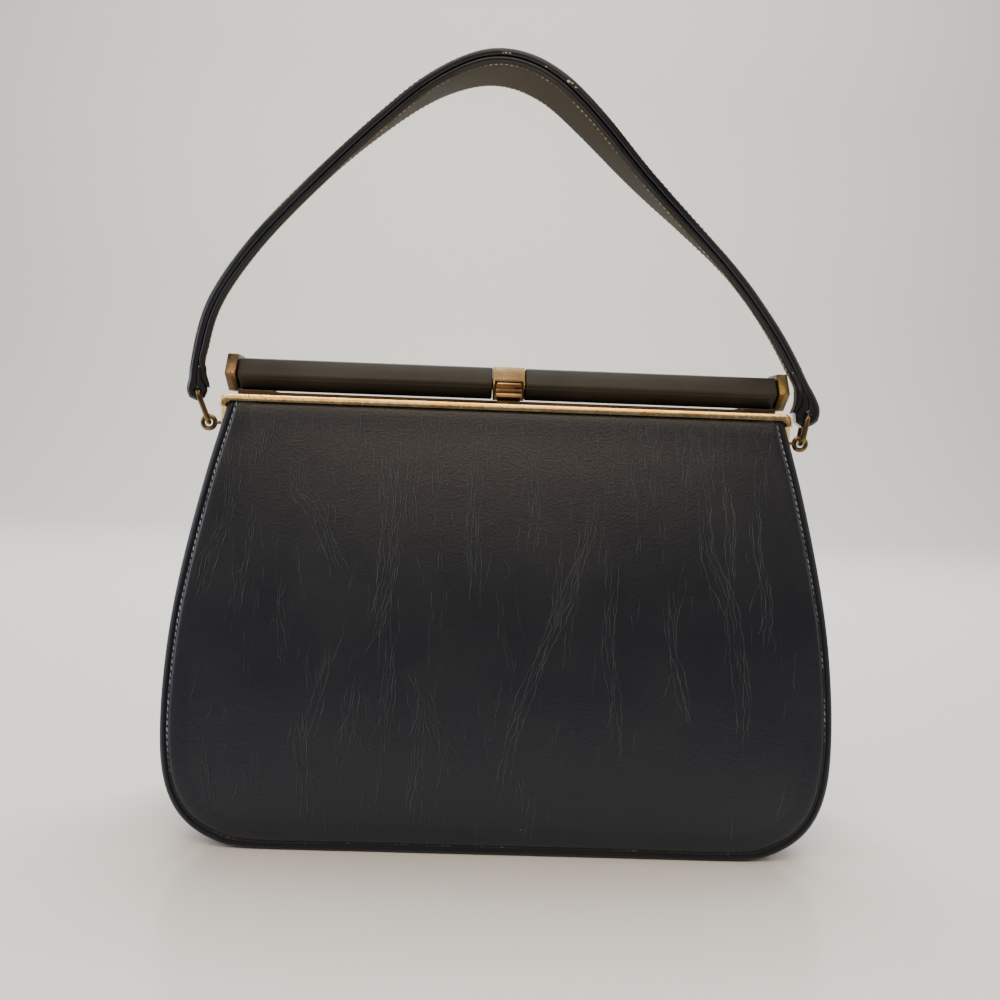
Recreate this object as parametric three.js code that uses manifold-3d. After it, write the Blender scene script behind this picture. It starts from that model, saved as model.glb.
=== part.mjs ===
// Frame purse: a stiff leather bag on a hinged brass frame, with a covered top bar and a strap handle.
// Units are millimetres. +Z is up, the front faces -Y, and the bag stands on z = 0.
import * as THREE from 'three';
import Module from 'manifold-3d';

const wasm = await Module();
wasm.setup();

// Clearance between pieces that touch on the real bag
const gap = 0.3;
// How far a cutting shape passes the face that it opens
const cutOver = 1;
// Facets round each turned piece
const facets = { corner: 5, ear: 16, earHole: 12, pin: 12, head: 12, barrel: 16, wire: 8, ring: 16 };

// Outline of the front and back panels: half width at each height
const outlineRows = [
  { half: 0, z: 0 },
  { half: 45, z: 0 },
  { half: 90, z: 0 },
  { half: 105, z: 3.6 },
  { half: 115.2, z: 10.8 },
  { half: 121.4, z: 21.6 },
  { half: 124.3, z: 36 },
  { half: 125, z: 54 },
  { half: 123.7, z: 80 },
  { half: 121, z: 100 },
  { half: 117.5, z: 120 },
  { half: 113.5, z: 140 },
  { half: 110.4, z: 153 },
  { half: 107.3, z: 165.4 },
];
const panelTop = 165.4;

// Depth of a panel's outer face from the middle plane at each height
const depthRows = [
  { depth: 40, z: 0 },
  { depth: 38.6, z: 22 },
  { depth: 33.6, z: 60 },
  { depth: 26.2, z: 100 },
  { depth: 17.4, z: 140 },
  { depth: 13.3, z: 157 },
  { depth: 12.4, z: 162 },
  { depth: 12, z: 165.4 },
];
const panelThick = 2.2;
const panelBulge = 3.5;
const panelWide = 125;

// Seam round a panel: how far the outer face drops at each distance from the edge
const seamRows = [
  { inset: 0, drop: 0.9 },
  { inset: 0.9, drop: 0.25 },
  { inset: 2.8, drop: 0.3 },
  { inset: 3.4, drop: 0.75 },
  { inset: 4.6, drop: 0.1 },
];
const blendSteps = [0.3, 0.65, 1];
const innerHalf = 74;
const innerLow = 48;

// Cells of the leather walls along half of the outline: base, rounded corner, flank
const baseRow = 2;
const cornerRow = 6;
const baseCells = 4;
const cornerCells = 10;
const flankCells = 8;
const bottomCells = 2 * baseCells + cornerCells;
const sideCells = cornerCells / 2 + flankCells;

// Gusset strip round the sides and the base
const gussetThick = 1.4;
const flangeTip = 0.3;
const flangeWide = 3.6;
const gussetTop = 151.6;
const foldDeep = 15;
const foldStart = 30;
const foldPower = 1.3;
const sagEnd = 78;
const sagFade = 18;
const sagEdge = { start: 0.6, end: 0.97 };
// Places across the strip, from its front edge to its back edge
const gussetShares = [1, 0.82, 0.55, 0.28, 0, -0.28, -0.55, -0.82, -1];

// Brass half-frames
const railHalf = 110.5;
const railTop = 167;
const railFace = 2.6;
const railFront = 13.2;
const railBack = 8.7;
const lipThick = 0.9;
const innerWall = 1;
const railCorner = 3;
const railFillet = 2;
const legThick = 2.2;
const legEnd = 152.4;
const legFront = 9.9;
const legShoulder = 162;
const slotHalf = 108.2;
const backWallLow = 161;
const hingeZ = 155.9;
const earRadius = 3.2;
const earThick = 1.3;
const earArm = 2.5;
const pinRadius = 0.7;
const pinHead = { radius: 1.8, start: 106.2, end: 107.2 };
const pinCollar = { radius: 2.1, length: 1.4 };

// Web of the back half-frame, which carries the bar on two feet
const webLow = 167.3;
const webHigh = 168.3;
const webHalf = 104.9;
const webFront = 7.9;
const footHigh = 168.9;
const footLength = 14;
const notchHalf = 5.3;
const webNotch = 6.4;
const railNotch = 1.3;

// Six-sided top bar
const barSection = { top: 181.3, ridge: 174.7, low: 169.2, topHalf: 5.5, ridgeHalf: 10.5, lowHalf: 3 };
const capSection = { top: 182.8, ridge: 174.7, low: 168.5, topHalf: 6.3, ridgeHalf: 11.8, lowHalf: 3.5 };
const holeSection = { top: 179.2, ridge: 174.8, low: 171.3, topHalf: 3.9, ridgeHalf: 7.4, lowHalf: 2.1 };
const cheekSection = { top: 181.6, ridge: 174.7, low: 168.9, topHalf: 5.7, ridgeHalf: 10.9, lowHalf: 3.2 };
const coverStart = 6.4;
const coverEnd = 105;
const capEnd = 109.4;
const spine = { half: 3, low: 173, high: 177, end: 104.7 };

// Clasp in the middle of the bar
const recessHalf = 5.6;
const cheekThick = 0.5;
const recessBack = -4.5;
const bridgeLow = 175.7;
const tongueHalf = 5;
const neckHalf = 4.5;
const tonguePivot = { y: -7, z: 164.5 };
const bridgeBevel = { y: -9.5, rise: 1 };
const bridgeEdge = -9.1;
const tongueTop = 175.3;
const tongueRound = 1.4;
const tongueBarrel = 1.4;
const lipLow = 169.6;
// Side view of the tongue, from the barrel up its back, over the top and down its front
const tongueRows = [
  { y: -7.1, z: 164.5 },
  { y: -7.1, z: 171.5 },
  { y: -8, z: 175.3 },
  { y: -9.9, z: 175.3 },
  { y: -10.7, z: 174.8 },
  { y: -10.8, z: 173.7 },
  { y: -9.5, z: 172.9 },
  { y: -9.3, z: 171.8 },
  { y: -12.1, z: 171 },
  { y: -12.4, z: 170.3 },
  { y: -11.9, z: 169.6 },
  { y: -9.2, z: 169.1 },
  { y: -8.3, z: 168.2 },
  { y: -8.3, z: 164.5 },
];
const trunnionHalf = 6.6;
const trunnionRadius = 0.6;
const trunnionPlay = 0.25;
const lugHalf = 6.4;
const lugInner = 4.9;
const lugReach = 1.6;
const lugTall = 3.4;

// Eyes on the hinge pins and the wire links that hang the handle
const eyeX = 117.6;
const eyeRing = 2.5;
const eyeWire = 0.95;
const linkWire = 0.95;
const linkHalf = 6.6;
const linkCorner = 2.4;
// Middle of each strap fold, and how far it and its link are turned about the upright
const foldLeft = { x: -122.5, z: 168.2, turn: 13 };
const foldRight = { x: 119.6, z: 167.4, turn: -9 };

// Handle: middle line of the strap's front edge, left to right
const handleRows = [
  { x: -121, z: 179 },
  { x: -116.8, z: 199.2 },
  { x: -102.2, z: 222.6 },
  { x: -76.8, z: 250.4 },
  { x: -51, z: 275 },
  { x: -31.2, z: 290.8 },
  { x: -9.5, z: 299.3 },
  { x: 10.4, z: 294.6 },
  { x: 29.1, z: 279.3 },
  { x: 48.5, z: 258.1 },
  { x: 67.7, z: 239.2 },
  { x: 87.6, z: 219.4 },
  { x: 107.4, z: 193.6 },
  { x: 115.6, z: 179 },
];
// Handle by the share of its length: width, roll about its own line, thickness of the outer and inner layers
const strapRows = [
  { share: 0, wide: 10.4, roll: 13, outer: 2.8, inner: 2.4 },
  { share: 0.12, wide: 11.5, roll: 14.5, outer: 2.8, inner: 2.4 },
  { share: 0.24, wide: 14.5, roll: 15, outer: 2.8, inner: 2.4 },
  { share: 0.34, wide: 19, roll: 9, outer: 2.9, inner: 2.5 },
  { share: 0.42, wide: 23, roll: 3, outer: 3.1, inner: 2.6 },
  { share: 0.5, wide: 27, roll: -2, outer: 3.4, inner: 2.8 },
  { share: 0.62, wide: 25, roll: -4, outer: 3.3, inner: 2.7 },
  { share: 0.72, wide: 20.5, roll: 2, outer: 3, inner: 2.6 },
  { share: 0.8, wide: 16, roll: 9, outer: 2.8, inner: 2.4 },
  { share: 0.88, wide: 12, roll: 15, outer: 2.7, inner: 2.3 },
  { share: 1, wide: 10.4, roll: 9, outer: 2.7, inner: 2.3 },
];
const strapDome = 0.5;
const freeEdge = 0.9;
const seamEdge = 0.35;
const strapStations = 33;
// Ends of both layers from their tips to the main run, measured inwards and upwards from the link's upper bar:
// the outer layer's tail comes up from its turn round the link, and the inner layer's tip flares over it
const outerEnds = {
  left: [
    { inward: 0.9, rise: 9.3, thick: 0.34 },
    { inward: 0.52, rise: 8.2, thick: 0.7 },
    { inward: 0.6, rise: 6.6, thick: 1.2 },
    { inward: 0.9, rise: 5, thick: 2 },
    { inward: 1.15, rise: 3.4, thick: 2.6 },
    { inward: 1.85, rise: 1.8, thick: 3.5 },
    { inward: 2.6, rise: 0, thick: 2.6 },
    { inward: 1.9, rise: -1.8, thick: 2.6 },
    { inward: 0, rise: -2.6, thick: 2.6 },
    { inward: -1.9, rise: -1.8, thick: 2.6 },
    { inward: -2.6, rise: 0, thick: 2.6 },
    { inward: -1.95, rise: 1.8, thick: 3.5 },
    { inward: -1.75, rise: 3.6, thick: 2.8 },
    { inward: -1.6, rise: 5.8, thick: 2.8 },
    { inward: -1.5, rise: 8.2, thick: 2.8 },
  ],
  right: [
    { inward: 2.52, rise: 9.3, thick: 0.36 },
    { inward: 1.9, rise: 7.4, thick: 1.3 },
    { inward: 1.52, rise: 5.8, thick: 2.3 },
    { inward: 1.3, rise: 4.2, thick: 2.9 },
    { inward: 1.8, rise: 2.4, thick: 3.6 },
    { inward: 3.2, rise: 0.2, thick: 3.3 },
    { inward: 2.8, rise: -2.2, thick: 3.4 },
    { inward: 1.1, rise: -3.4, thick: 3.4 },
    { inward: -1.1, rise: -2.8, thick: 3.2 },
    { inward: -2.55, rise: -1.4, thick: 3.1 },
    { inward: -3, rise: 0.6, thick: 3.1 },
    { inward: -2.35, rise: 2.6, thick: 4.1 },
    { inward: -1.95, rise: 4.8, thick: 3.1 },
    { inward: -0.95, rise: 7, thick: 2.9 },
    { inward: 0.3, rise: 9.2, thick: 2.8 },
  ],
};
const innerEnds = {
  left: [
    { inward: 4.8, rise: 1.4, thick: 0.9 },
    { inward: 4.22, rise: 3.2, thick: 1.5 },
    { inward: 3.3, rise: 5, thick: 1.9 },
    { inward: 2.7, rise: 6.8, thick: 2.2 },
    { inward: 2.55, rise: 9, thick: 2.4 },
  ],
  right: [
    { inward: 5.9, rise: 0.6, thick: 1.1 },
    { inward: 5.15, rise: 2.2, thick: 1.5 },
    { inward: 4.45, rise: 3.8, thick: 1.8 },
    { inward: 4.05, rise: 5.8, thick: 2.1 },
    { inward: 4, rise: 7.6, thick: 2.2 },
    { inward: 4.1, rise: 9.4, thick: 2.3 },
  ],
};

const blackLeather = new THREE.MeshStandardMaterial({
  name: 'black_leather', color: 0x26262a, roughness: 0.45,
});
const strapLeather = new THREE.MeshStandardMaterial({
  name: 'strap_leather', color: 0x2c2b2a, roughness: 0.5,
});
const brass = new THREE.MeshStandardMaterial({
  name: 'brass', color: 0xc9a05a, roughness: 0.3, metalness: 1,
});

// Value of one column of a table at a given place in another column, on a smooth curve through its rows
function lookUp(rows, key, place, column) {
  const last = rows.length - 1;
  const held = THREE.MathUtils.clamp(place, rows[0][key], rows[last][key]);
  let i = 0;
  while (i < last - 1 && held > rows[i + 1][key]) i += 1;
  const slope = (k) => {
    const before = rows[Math.max(k - 1, 0)];
    const after = rows[Math.min(k + 1, last)];
    return (after[column] - before[column]) / (after[key] - before[key]);
  };
  const span = rows[i + 1][key] - rows[i][key];
  const u = (held - rows[i][key]) / span;
  const start = rows[i][column];
  const end = rows[i + 1][column];
  const eased = u * u * (3 - 2 * u);
  const lean = slope(i) * (u - 2 * u * u + u ** 3) + slope(i + 1) * (u ** 3 - u * u);
  return start + (end - start) * eased + span * lean;
}

// Closed geometry from points and triangles, turned so that its faces look outwards
function closedGeometry(points, triangles) {
  let volume = 0;
  for (const [a, b, c] of triangles) {
    volume += points[a].dot(new THREE.Vector3().crossVectors(points[b], points[c]));
  }
  const index = triangles.flatMap(([a, b, c]) => (volume > 0 ? [a, b, c] : [a, c, b]));
  const geometry = new THREE.BufferGeometry().setFromPoints(points);
  geometry.setIndex(index);
  geometry.computeVertexNormals();
  return geometry;
}

// Wall between two skins that share one set of four-cornered cells
function wallBetween(outer, inner, cells) {
  const count = outer.length;
  const triangles = [];
  const border = new Map();
  for (const cell of cells) {
    const [a, b, c, d] = cell;
    triangles.push([a, b, c], [a, c, d]);
    triangles.push([count + a, count + c, count + b], [count + a, count + d, count + c]);
    for (let k = 0; k < 4; k += 1) {
      const from = cell[k];
      const to = cell[(k + 1) % 4];
      if (!border.delete(`${to},${from}`)) border.set(`${from},${to}`, [from, to]);
    }
  }
  for (const [from, to] of border.values()) {
    triangles.push([to, from, count + from], [to, count + from, count + to]);
  }
  return closedGeometry([...outer, ...inner], triangles);
}

// Solid swept through a list of rings that have the same number of points
function sweepRings(rings, closed) {
  const sides = rings[0].length;
  const steps = closed ? rings.length : rings.length - 1;
  const triangles = [];
  const at = (step, side) => (step % rings.length) * sides + (side % sides);
  for (let i = 0; i < steps; i += 1) {
    for (let j = 0; j < sides; j += 1) {
      triangles.push([at(i, j), at(i + 1, j), at(i + 1, j + 1)]);
      triangles.push([at(i, j), at(i + 1, j + 1), at(i, j + 1)]);
    }
  }
  if (!closed) {
    for (let j = 1; j < sides - 1; j += 1) {
      triangles.push([at(0, 0), at(0, j), at(0, j + 1)]);
      triangles.push([at(steps, 0), at(steps, j + 1), at(steps, j)]);
    }
  }
  return closedGeometry(rings.flat(), triangles);
}

function toSolid(geometry) {
  const plain = geometry.index ? geometry : weld(geometry);
  const vertProperties = new Float32Array(plain.attributes.position.array);
  const triVerts = new Uint32Array(plain.index.array);
  return new wasm.Manifold(new wasm.Mesh({ numProp: 3, vertProperties, triVerts }));
}

// Joins the equal corners of a geometry that has none shared
function weld(geometry) {
  const position = geometry.attributes.position;
  const places = new Map();
  const points = [];
  const index = [];
  for (let i = 0; i < position.count; i += 1) {
    const point = new THREE.Vector3().fromBufferAttribute(position, i);
    const key = point.toArray().map((value) => Math.round(value * 1e4)).join(',');
    if (!places.has(key)) {
      places.set(key, points.length);
      points.push(point);
    }
    index.push(places.get(key));
  }
  const welded = new THREE.BufferGeometry().setFromPoints(points);
  const corners = [];
  for (let i = 0; i < index.length; i += 3) {
    const [a, b, c] = index.slice(i, i + 3);
    if (a !== b && b !== c && c !== a) corners.push(a, b, c);
  }
  welded.setIndex(corners);
  return welded;
}

function fromSolid(solid) {
  const mesh = solid.getMesh();
  const geometry = new THREE.BufferGeometry();
  geometry.setAttribute('position', new THREE.BufferAttribute(mesh.vertProperties, 3));
  geometry.setIndex(new THREE.BufferAttribute(mesh.triVerts, 1));
  return geometry;
}

function boxSolid(x0, x1, y0, y1, z0, z1) {
  const box = new THREE.BoxGeometry(x1 - x0, y1 - y0, z1 - z0);
  box.translate((x0 + x1) / 2, (y0 + y1) / 2, (z0 + z1) / 2);
  return toSolid(weld(box.toNonIndexed()));
}

// Outline in the Y-Z plane, drawn out along X
function alongX(outline, x0, x1) {
  const shape = new THREE.Shape(outline.map(([y, z]) => new THREE.Vector2(y, z)));
  const solid = new THREE.ExtrudeGeometry(shape, { depth: x1 - x0, bevelEnabled: false });
  const turn = new THREE.Matrix4().makeBasis(
    new THREE.Vector3(0, 1, 0), new THREE.Vector3(0, 0, 1), new THREE.Vector3(1, 0, 0),
  );
  solid.applyMatrix4(turn);
  solid.translate(x0, 0, 0);
  return toSolid(weld(solid));
}

// Shape in the X-Z plane, drawn out along Y
function alongY(shape, y0, y1) {
  const solid = new THREE.ExtrudeGeometry(shape, {
    depth: y1 - y0, bevelEnabled: false, curveSegments: facets.corner,
  });
  solid.rotateX(Math.PI / 2);
  solid.translate(0, y1, 0);
  return toSolid(weld(solid));
}

// Round rod along X
function rodAlongX(radius, x0, x1, y, z, sides) {
  const rod = new THREE.CylinderGeometry(radius, radius, x1 - x0, sides);
  rod.rotateZ(Math.PI / 2);
  rod.translate((x0 + x1) / 2, y, z);
  return toSolid(weld(rod.toNonIndexed()));
}

const outlineCurve = new THREE.SplineCurve(outlineRows.map((row) => new THREE.Vector2(row.half, row.z)));

// Depth of a panel's outer face, with its shallow pillow
function panelDepth(x, z) {
  const across = 1 - (x / panelWide) ** 2;
  const upward = Math.sin(Math.PI * THREE.MathUtils.clamp(z / panelTop, 0, 1));
  return lookUp(depthRows, 'z', z, 'depth') + panelBulge * across * upward;
}

// Place on the outline curve, counted in rows of its table, where it reaches a height
function rowAtHeight(z) {
  let low = cornerRow;
  let high = outlineRows.length - 1;
  for (let k = 0; k < 40; k += 1) {
    const middle = (low + high) / 2;
    if (outlineCurve.getPoint(middle / (outlineRows.length - 1)).y < z) low = middle;
    else high = middle;
  }
  return low;
}

// Stations along the outline, from the top left round the base to the top right
function outlineStations(topZ) {
  const stretches = [
    { from: 0, to: baseRow, cells: baseCells },
    { from: baseRow, to: cornerRow, cells: cornerCells },
    { from: cornerRow, to: rowAtHeight(topZ), cells: flankCells },
  ];
  const places = [0];
  for (const { from, to, cells } of stretches) {
    for (let k = 1; k <= cells; k += 1) places.push(from + ((to - from) * k) / cells);
  }
  const right = places.map((place) => {
    const point = outlineCurve.getPoint(place / (outlineRows.length - 1));
    const tangent = outlineCurve.getTangent(place / (outlineRows.length - 1));
    return { x: point.x, z: Math.max(point.y, 0), inX: -tangent.y, inZ: tangent.x };
  });
  const left = right.slice(1).reverse().map((station) => ({ ...station, x: -station.x, inX: -station.inX }));
  return [...left, ...right];
}

// Front or back panel: rings that follow the outline round a plain middle grid
function panelGeometry(side) {
  const around = 2 * sideCells + bottomCells;
  const stations = outlineStations(panelTop);
  const inner = stations.map((station, i) => {
    if (i <= sideCells) {
      const down = i / sideCells;
      return { x: -innerHalf, z: THREE.MathUtils.lerp(panelTop, innerLow, down) };
    }
    if (i >= sideCells + bottomCells) {
      const up = (i - sideCells - bottomCells) / sideCells;
      return { x: innerHalf, z: THREE.MathUtils.lerp(innerLow, panelTop, up) };
    }
    const across = (i - sideCells) / bottomCells;
    return { x: THREE.MathUtils.lerp(-innerHalf, innerHalf, across), z: innerLow };
  });
  const insetPoint = (i, inset) => {
    const station = stations[i];
    const atTop = i === 0 || i === around;
    const inX = atTop ? Math.sign(-station.x) : station.inX;
    const inZ = atTop ? 0 : station.inZ;
    return { x: station.x + inX * inset, z: station.z + inZ * inset };
  };
  const seamRing = ({ inset, drop }) => stations.map((_, i) => ({ ...insetPoint(i, inset), drop }));
  const rings = seamRows.map(seamRing);
  const seamEnd = seamRows.at(-1).inset;
  for (const blend of blendSteps) {
    rings.push(stations.map((_, i) => {
      const from = insetPoint(i, seamEnd);
      return {
        x: THREE.MathUtils.lerp(from.x, inner[i].x, blend),
        z: THREE.MathUtils.lerp(from.z, inner[i].z, blend),
        drop: 0,
      };
    }));
  }
  const flat = rings.flat();
  const ringAt = (ring, i) => ring * (around + 1) + i;
  const cells = [];
  for (let ring = 0; ring < rings.length - 1; ring += 1) {
    for (let i = 0; i < around; i += 1) {
      cells.push([ringAt(ring, i), ringAt(ring, i + 1), ringAt(ring + 1, i + 1), ringAt(ring + 1, i)]);
    }
  }
  const last = rings.length - 1;
  const middle = new Map();
  const gridAt = (column, row) => {
    if (column === 0) return ringAt(last, row);
    if (column === bottomCells) return ringAt(last, around - row);
    if (row === sideCells) return ringAt(last, sideCells + column);
    return middle.get(`${column},${row}`);
  };
  for (let row = 0; row < sideCells; row += 1) {
    for (let column = 1; column < bottomCells; column += 1) {
      middle.set(`${column},${row}`, flat.length);
      flat.push({
        x: THREE.MathUtils.lerp(-innerHalf, innerHalf, column / bottomCells),
        z: THREE.MathUtils.lerp(panelTop, innerLow, row / sideCells),
        drop: 0,
      });
    }
  }
  for (let row = 0; row < sideCells; row += 1) {
    for (let column = 0; column < bottomCells; column += 1) {
      cells.push([
        gridAt(column, row), gridAt(column, row + 1), gridAt(column + 1, row + 1), gridAt(column + 1, row),
      ]);
    }
  }
  const nearTop = (z) => THREE.MathUtils.clamp((panelTop - z) / seamEnd, 0, 1);
  const skin = ({ x, z }, sunk) => new THREE.Vector3(x, side * (panelDepth(x, z) - sunk), z);
  const outer = flat.map((point) => skin(point, point.drop * nearTop(point.z)));
  const innerSkin = flat.map((point) => skin(point, panelThick));
  return wallBetween(outer, innerSkin, cells);
}

// How far the gusset is pressed in (fold) or has sunk to the floor (sag) at a place on the outline
function gussetForm(station) {
  const rise = THREE.MathUtils.clamp((station.z - foldStart) / (gussetTop - foldStart), 0, 1);
  const fold = foldDeep * rise ** foldPower;
  const past = (Math.abs(station.x) - sagEnd) / sagFade;
  const sag = station.z > foldStart ? 0 : flangeWide * (1 - THREE.MathUtils.smoothstep(past, 0, 1));
  return { fold, sag };
}

function gussetGeometry() {
  const stations = outlineStations(gussetTop);
  const outer = [];
  const inner = [];
  const rowLength = gussetShares.length + 2;
  for (const station of stations) {
    const reach = panelDepth(station.x, station.z) - panelThick - gap;
    const { fold, sag } = gussetForm(station);
    const place = (inset, y) => new THREE.Vector3(
      station.x + station.inX * inset, y, Math.max(station.z + station.inZ * inset, 0),
    );
    outer.push(place(flangeTip, -reach + gussetThick));
    inner.push(place(flangeTip, -reach));
    for (const share of gussetShares) {
      const plateau = 1 - THREE.MathUtils.smoothstep(Math.abs(share), sagEdge.start, sagEdge.end);
      const inset = flangeWide + fold * (1 - Math.abs(share)) - sag * plateau;
      outer.push(place(inset, -share * (reach - gussetThick)));
      inner.push(place(inset + gussetThick, -share * (Math.abs(share) === 1 ? reach : reach - gussetThick)));
    }
    outer.push(place(flangeTip, reach - gussetThick));
    inner.push(place(flangeTip, reach));
  }
  const cells = [];
  for (let i = 0; i < stations.length - 1; i += 1) {
    for (let j = 0; j < rowLength - 1; j += 1) {
      const first = i * rowLength + j;
      cells.push([first, first + 1, first + 1 + rowLength, first + rowLength]);
    }
  }
  return wallBetween(outer, inner, cells);
}

// Arch of the rail and legs, as seen from the front
function archShape() {
  const shape = new THREE.Shape();
  const innerX = railHalf - legThick;
  const innerTop = railTop - railFace;
  shape.moveTo(-railHalf, legEnd);
  shape.lineTo(-innerX, legEnd);
  const filletX = innerX - railFillet;
  const filletZ = innerTop - railFillet;
  shape.lineTo(-innerX, filletZ);
  shape.absarc(-filletX, filletZ, railFillet, Math.PI, Math.PI / 2, true);
  shape.lineTo(filletX, innerTop);
  shape.absarc(filletX, filletZ, railFillet, Math.PI / 2, 0, true);
  shape.lineTo(innerX, legEnd);
  shape.lineTo(railHalf, legEnd);
  shape.lineTo(railHalf, railTop - railCorner);
  shape.absarc(railHalf - railCorner, railTop - railCorner, railCorner, 0, Math.PI / 2, false);
  shape.lineTo(-railHalf + railCorner, railTop);
  shape.absarc(-railHalf + railCorner, railTop - railCorner, railCorner, Math.PI / 2, Math.PI, false);
  return shape;
}

// Half-frame without its hinge ears: a channel that grips the panel's top edge, and two legs
function halfFrame(side) {
  const band = (near, far) => [Math.min(side * near, side * far), Math.max(side * near, side * far)];
  const [archLow, archHigh] = band(railBack, railFront);
  let frame = alongY(archShape(), archLow, archHigh);
  const wall = band(railBack, railBack + innerWall);
  frame = frame.add(boxSolid(-slotHalf, slotHalf, ...wall, backWallLow, railTop - lipThick / 2));
  const slot = band(railBack + innerWall, railFront - lipThick);
  frame = frame.subtract(boxSolid(-slotHalf, slotHalf, ...slot, legEnd, railTop - lipThick));
  const front = band(legFront, railFront + cutOver);
  for (const hand of [-1, 1]) {
    const reach = [hand * (railHalf - legThick - cutOver), hand * (railHalf + cutOver)].sort((a, b) => a - b);
    frame = frame.subtract(boxSolid(...reach, ...front, legEnd - cutOver, legShoulder));
  }
  return frame;
}

// Round ear at the foot of each leg, on the hinge line
function addEars(frame, side, earOuter) {
  let whole = frame;
  for (const hand of [-1, 1]) {
    const reach = [hand * (earOuter - earThick), hand * earOuter].sort((a, b) => a - b);
    const arm = [0, side * (legFront - gap)].sort((a, b) => a - b);
    whole = whole.add(boxSolid(...reach, ...arm, hingeZ - earArm, hingeZ + earArm));
    whole = whole.add(rodAlongX(earRadius, ...reach, 0, hingeZ, facets.ear));
    const hole = reach.map((value, i) => value + (i ? cutOver : -cutOver));
    whole = whole.subtract(rodAlongX(pinRadius + gap, ...hole, 0, hingeZ, facets.earHole));
  }
  return whole;
}

function frontFrameGeometry() {
  let frame = addEars(halfFrame(-1), -1, railHalf);
  const notch = [-railBack - railNotch, -railBack + cutOver];
  frame = frame.subtract(boxSolid(-notchHalf, notchHalf, ...notch, legEnd, railTop + cutOver));
  for (const hand of [-1, 1]) {
    const reach = [hand * lugInner, hand * lugHalf].sort((a, b) => a - b);
    const { y, z } = tonguePivot;
    const deep = [-railBack - innerWall / 2, y + lugReach];
    frame = frame.add(boxSolid(...reach, ...deep, z - lugTall / 2, z + lugTall / 2));
    const hole = reach.map((value, i) => value + (i ? cutOver : -cutOver));
    frame = frame.subtract(rodAlongX(trunnionRadius + trunnionPlay, ...hole, y, z, facets.pin));
  }
  return fromSolid(frame);
}

function backFrameGeometry() {
  let frame = addEars(halfFrame(1), 1, railHalf - earThick - gap);
  const backWall = [railBack, railBack + innerWall];
  frame = frame.add(boxSolid(-webHalf, webHalf, -webFront, railBack + innerWall, webLow, webHigh));
  frame = frame.add(boxSolid(-webHalf, webHalf, ...backWall, railTop - lipThick / 2, webHigh));
  for (const hand of [-1, 1]) {
    const reach = [hand * (webHalf - footLength), hand * webHalf].sort((a, b) => a - b);
    frame = frame.add(boxSolid(...reach, -webFront, webFront, webLow, footHigh));
  }
  const notch = [-webFront - cutOver, -webNotch];
  frame = frame.subtract(boxSolid(-notchHalf, notchHalf, ...notch, webLow - cutOver, webHigh + cutOver));
  return fromSolid(frame);
}

// Six corners of a bar section in the Y-Z plane
function hexagon(section) {
  const { top, ridge, low, topHalf, ridgeHalf, lowHalf } = section;
  return [
    [-lowHalf, low], [lowHalf, low], [ridgeHalf, ridge], [topHalf, top], [-topHalf, top], [-ridgeHalf, ridge],
  ];
}

function coverGeometry(hand) {
  const reach = [hand * coverStart, hand * coverEnd].sort((a, b) => a - b);
  const tube = alongX(hexagon(barSection), ...reach);
  const hole = alongX(hexagon(holeSection), reach[0] - cutOver, reach[1] + cutOver);
  return fromSolid(tube.subtract(hole));
}

function capGeometry(hand) {
  const reach = [hand * (coverEnd + gap), hand * capEnd].sort((a, b) => a - b);
  return fromSolid(alongX(hexagon(capSection), ...reach));
}

// Spine inside the covers, with the cheeks, back and bridge of the clasp
function barCoreGeometry() {
  let core = boxSolid(-spine.end, spine.end, -spine.half, spine.half, spine.low, spine.high);
  const { top, ridge, low, topHalf, ridgeHalf, lowHalf } = cheekSection;
  const block = [
    [recessBack, low], [lowHalf, low], [ridgeHalf, ridge], [topHalf, top], [-topHalf, top],
    [bridgeBevel.y, bridgeLow + bridgeBevel.rise], [bridgeEdge, bridgeLow], [recessBack, bridgeLow],
  ];
  core = core.add(alongX(block, -recessHalf, recessHalf));
  for (const hand of [-1, 1]) {
    const reach = [hand * recessHalf, hand * (recessHalf + cheekThick)].sort((a, b) => a - b);
    core = core.add(alongX(hexagon(cheekSection), ...reach));
  }
  return fromSolid(core);
}

// Tongue of the clasp: neck, finger lip, groove and top band, on a barrel with two short pins
function tongueGeometry() {
  const { y, z } = tonguePivot;
  const profile = tongueRows.map((row) => [row.y, row.z]);
  const face = new THREE.Shape();
  const round = tongueRound;
  const neckTop = lipLow - (tongueHalf - neckHalf);
  face.moveTo(-neckHalf, z - cutOver);
  face.lineTo(neckHalf, z - cutOver);
  face.lineTo(neckHalf, neckTop);
  face.lineTo(tongueHalf, lipLow);
  face.lineTo(tongueHalf, tongueTop - round);
  face.absarc(tongueHalf - round, tongueTop - round, round, 0, Math.PI / 2, false);
  face.absarc(-tongueHalf + round, tongueTop - round, round, Math.PI / 2, Math.PI, false);
  face.lineTo(-tongueHalf, lipLow);
  face.lineTo(-neckHalf, neckTop);
  let tongue = alongX(profile, -tongueHalf, tongueHalf).intersect(alongY(face, -railFront, 0));
  tongue = tongue.add(rodAlongX(tongueBarrel, -neckHalf, neckHalf, y, z, facets.barrel));
  tongue = tongue.add(rodAlongX(trunnionRadius, -trunnionHalf, trunnionHalf, y, z, facets.pin));
  return fromSolid(tongue);
}

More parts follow.
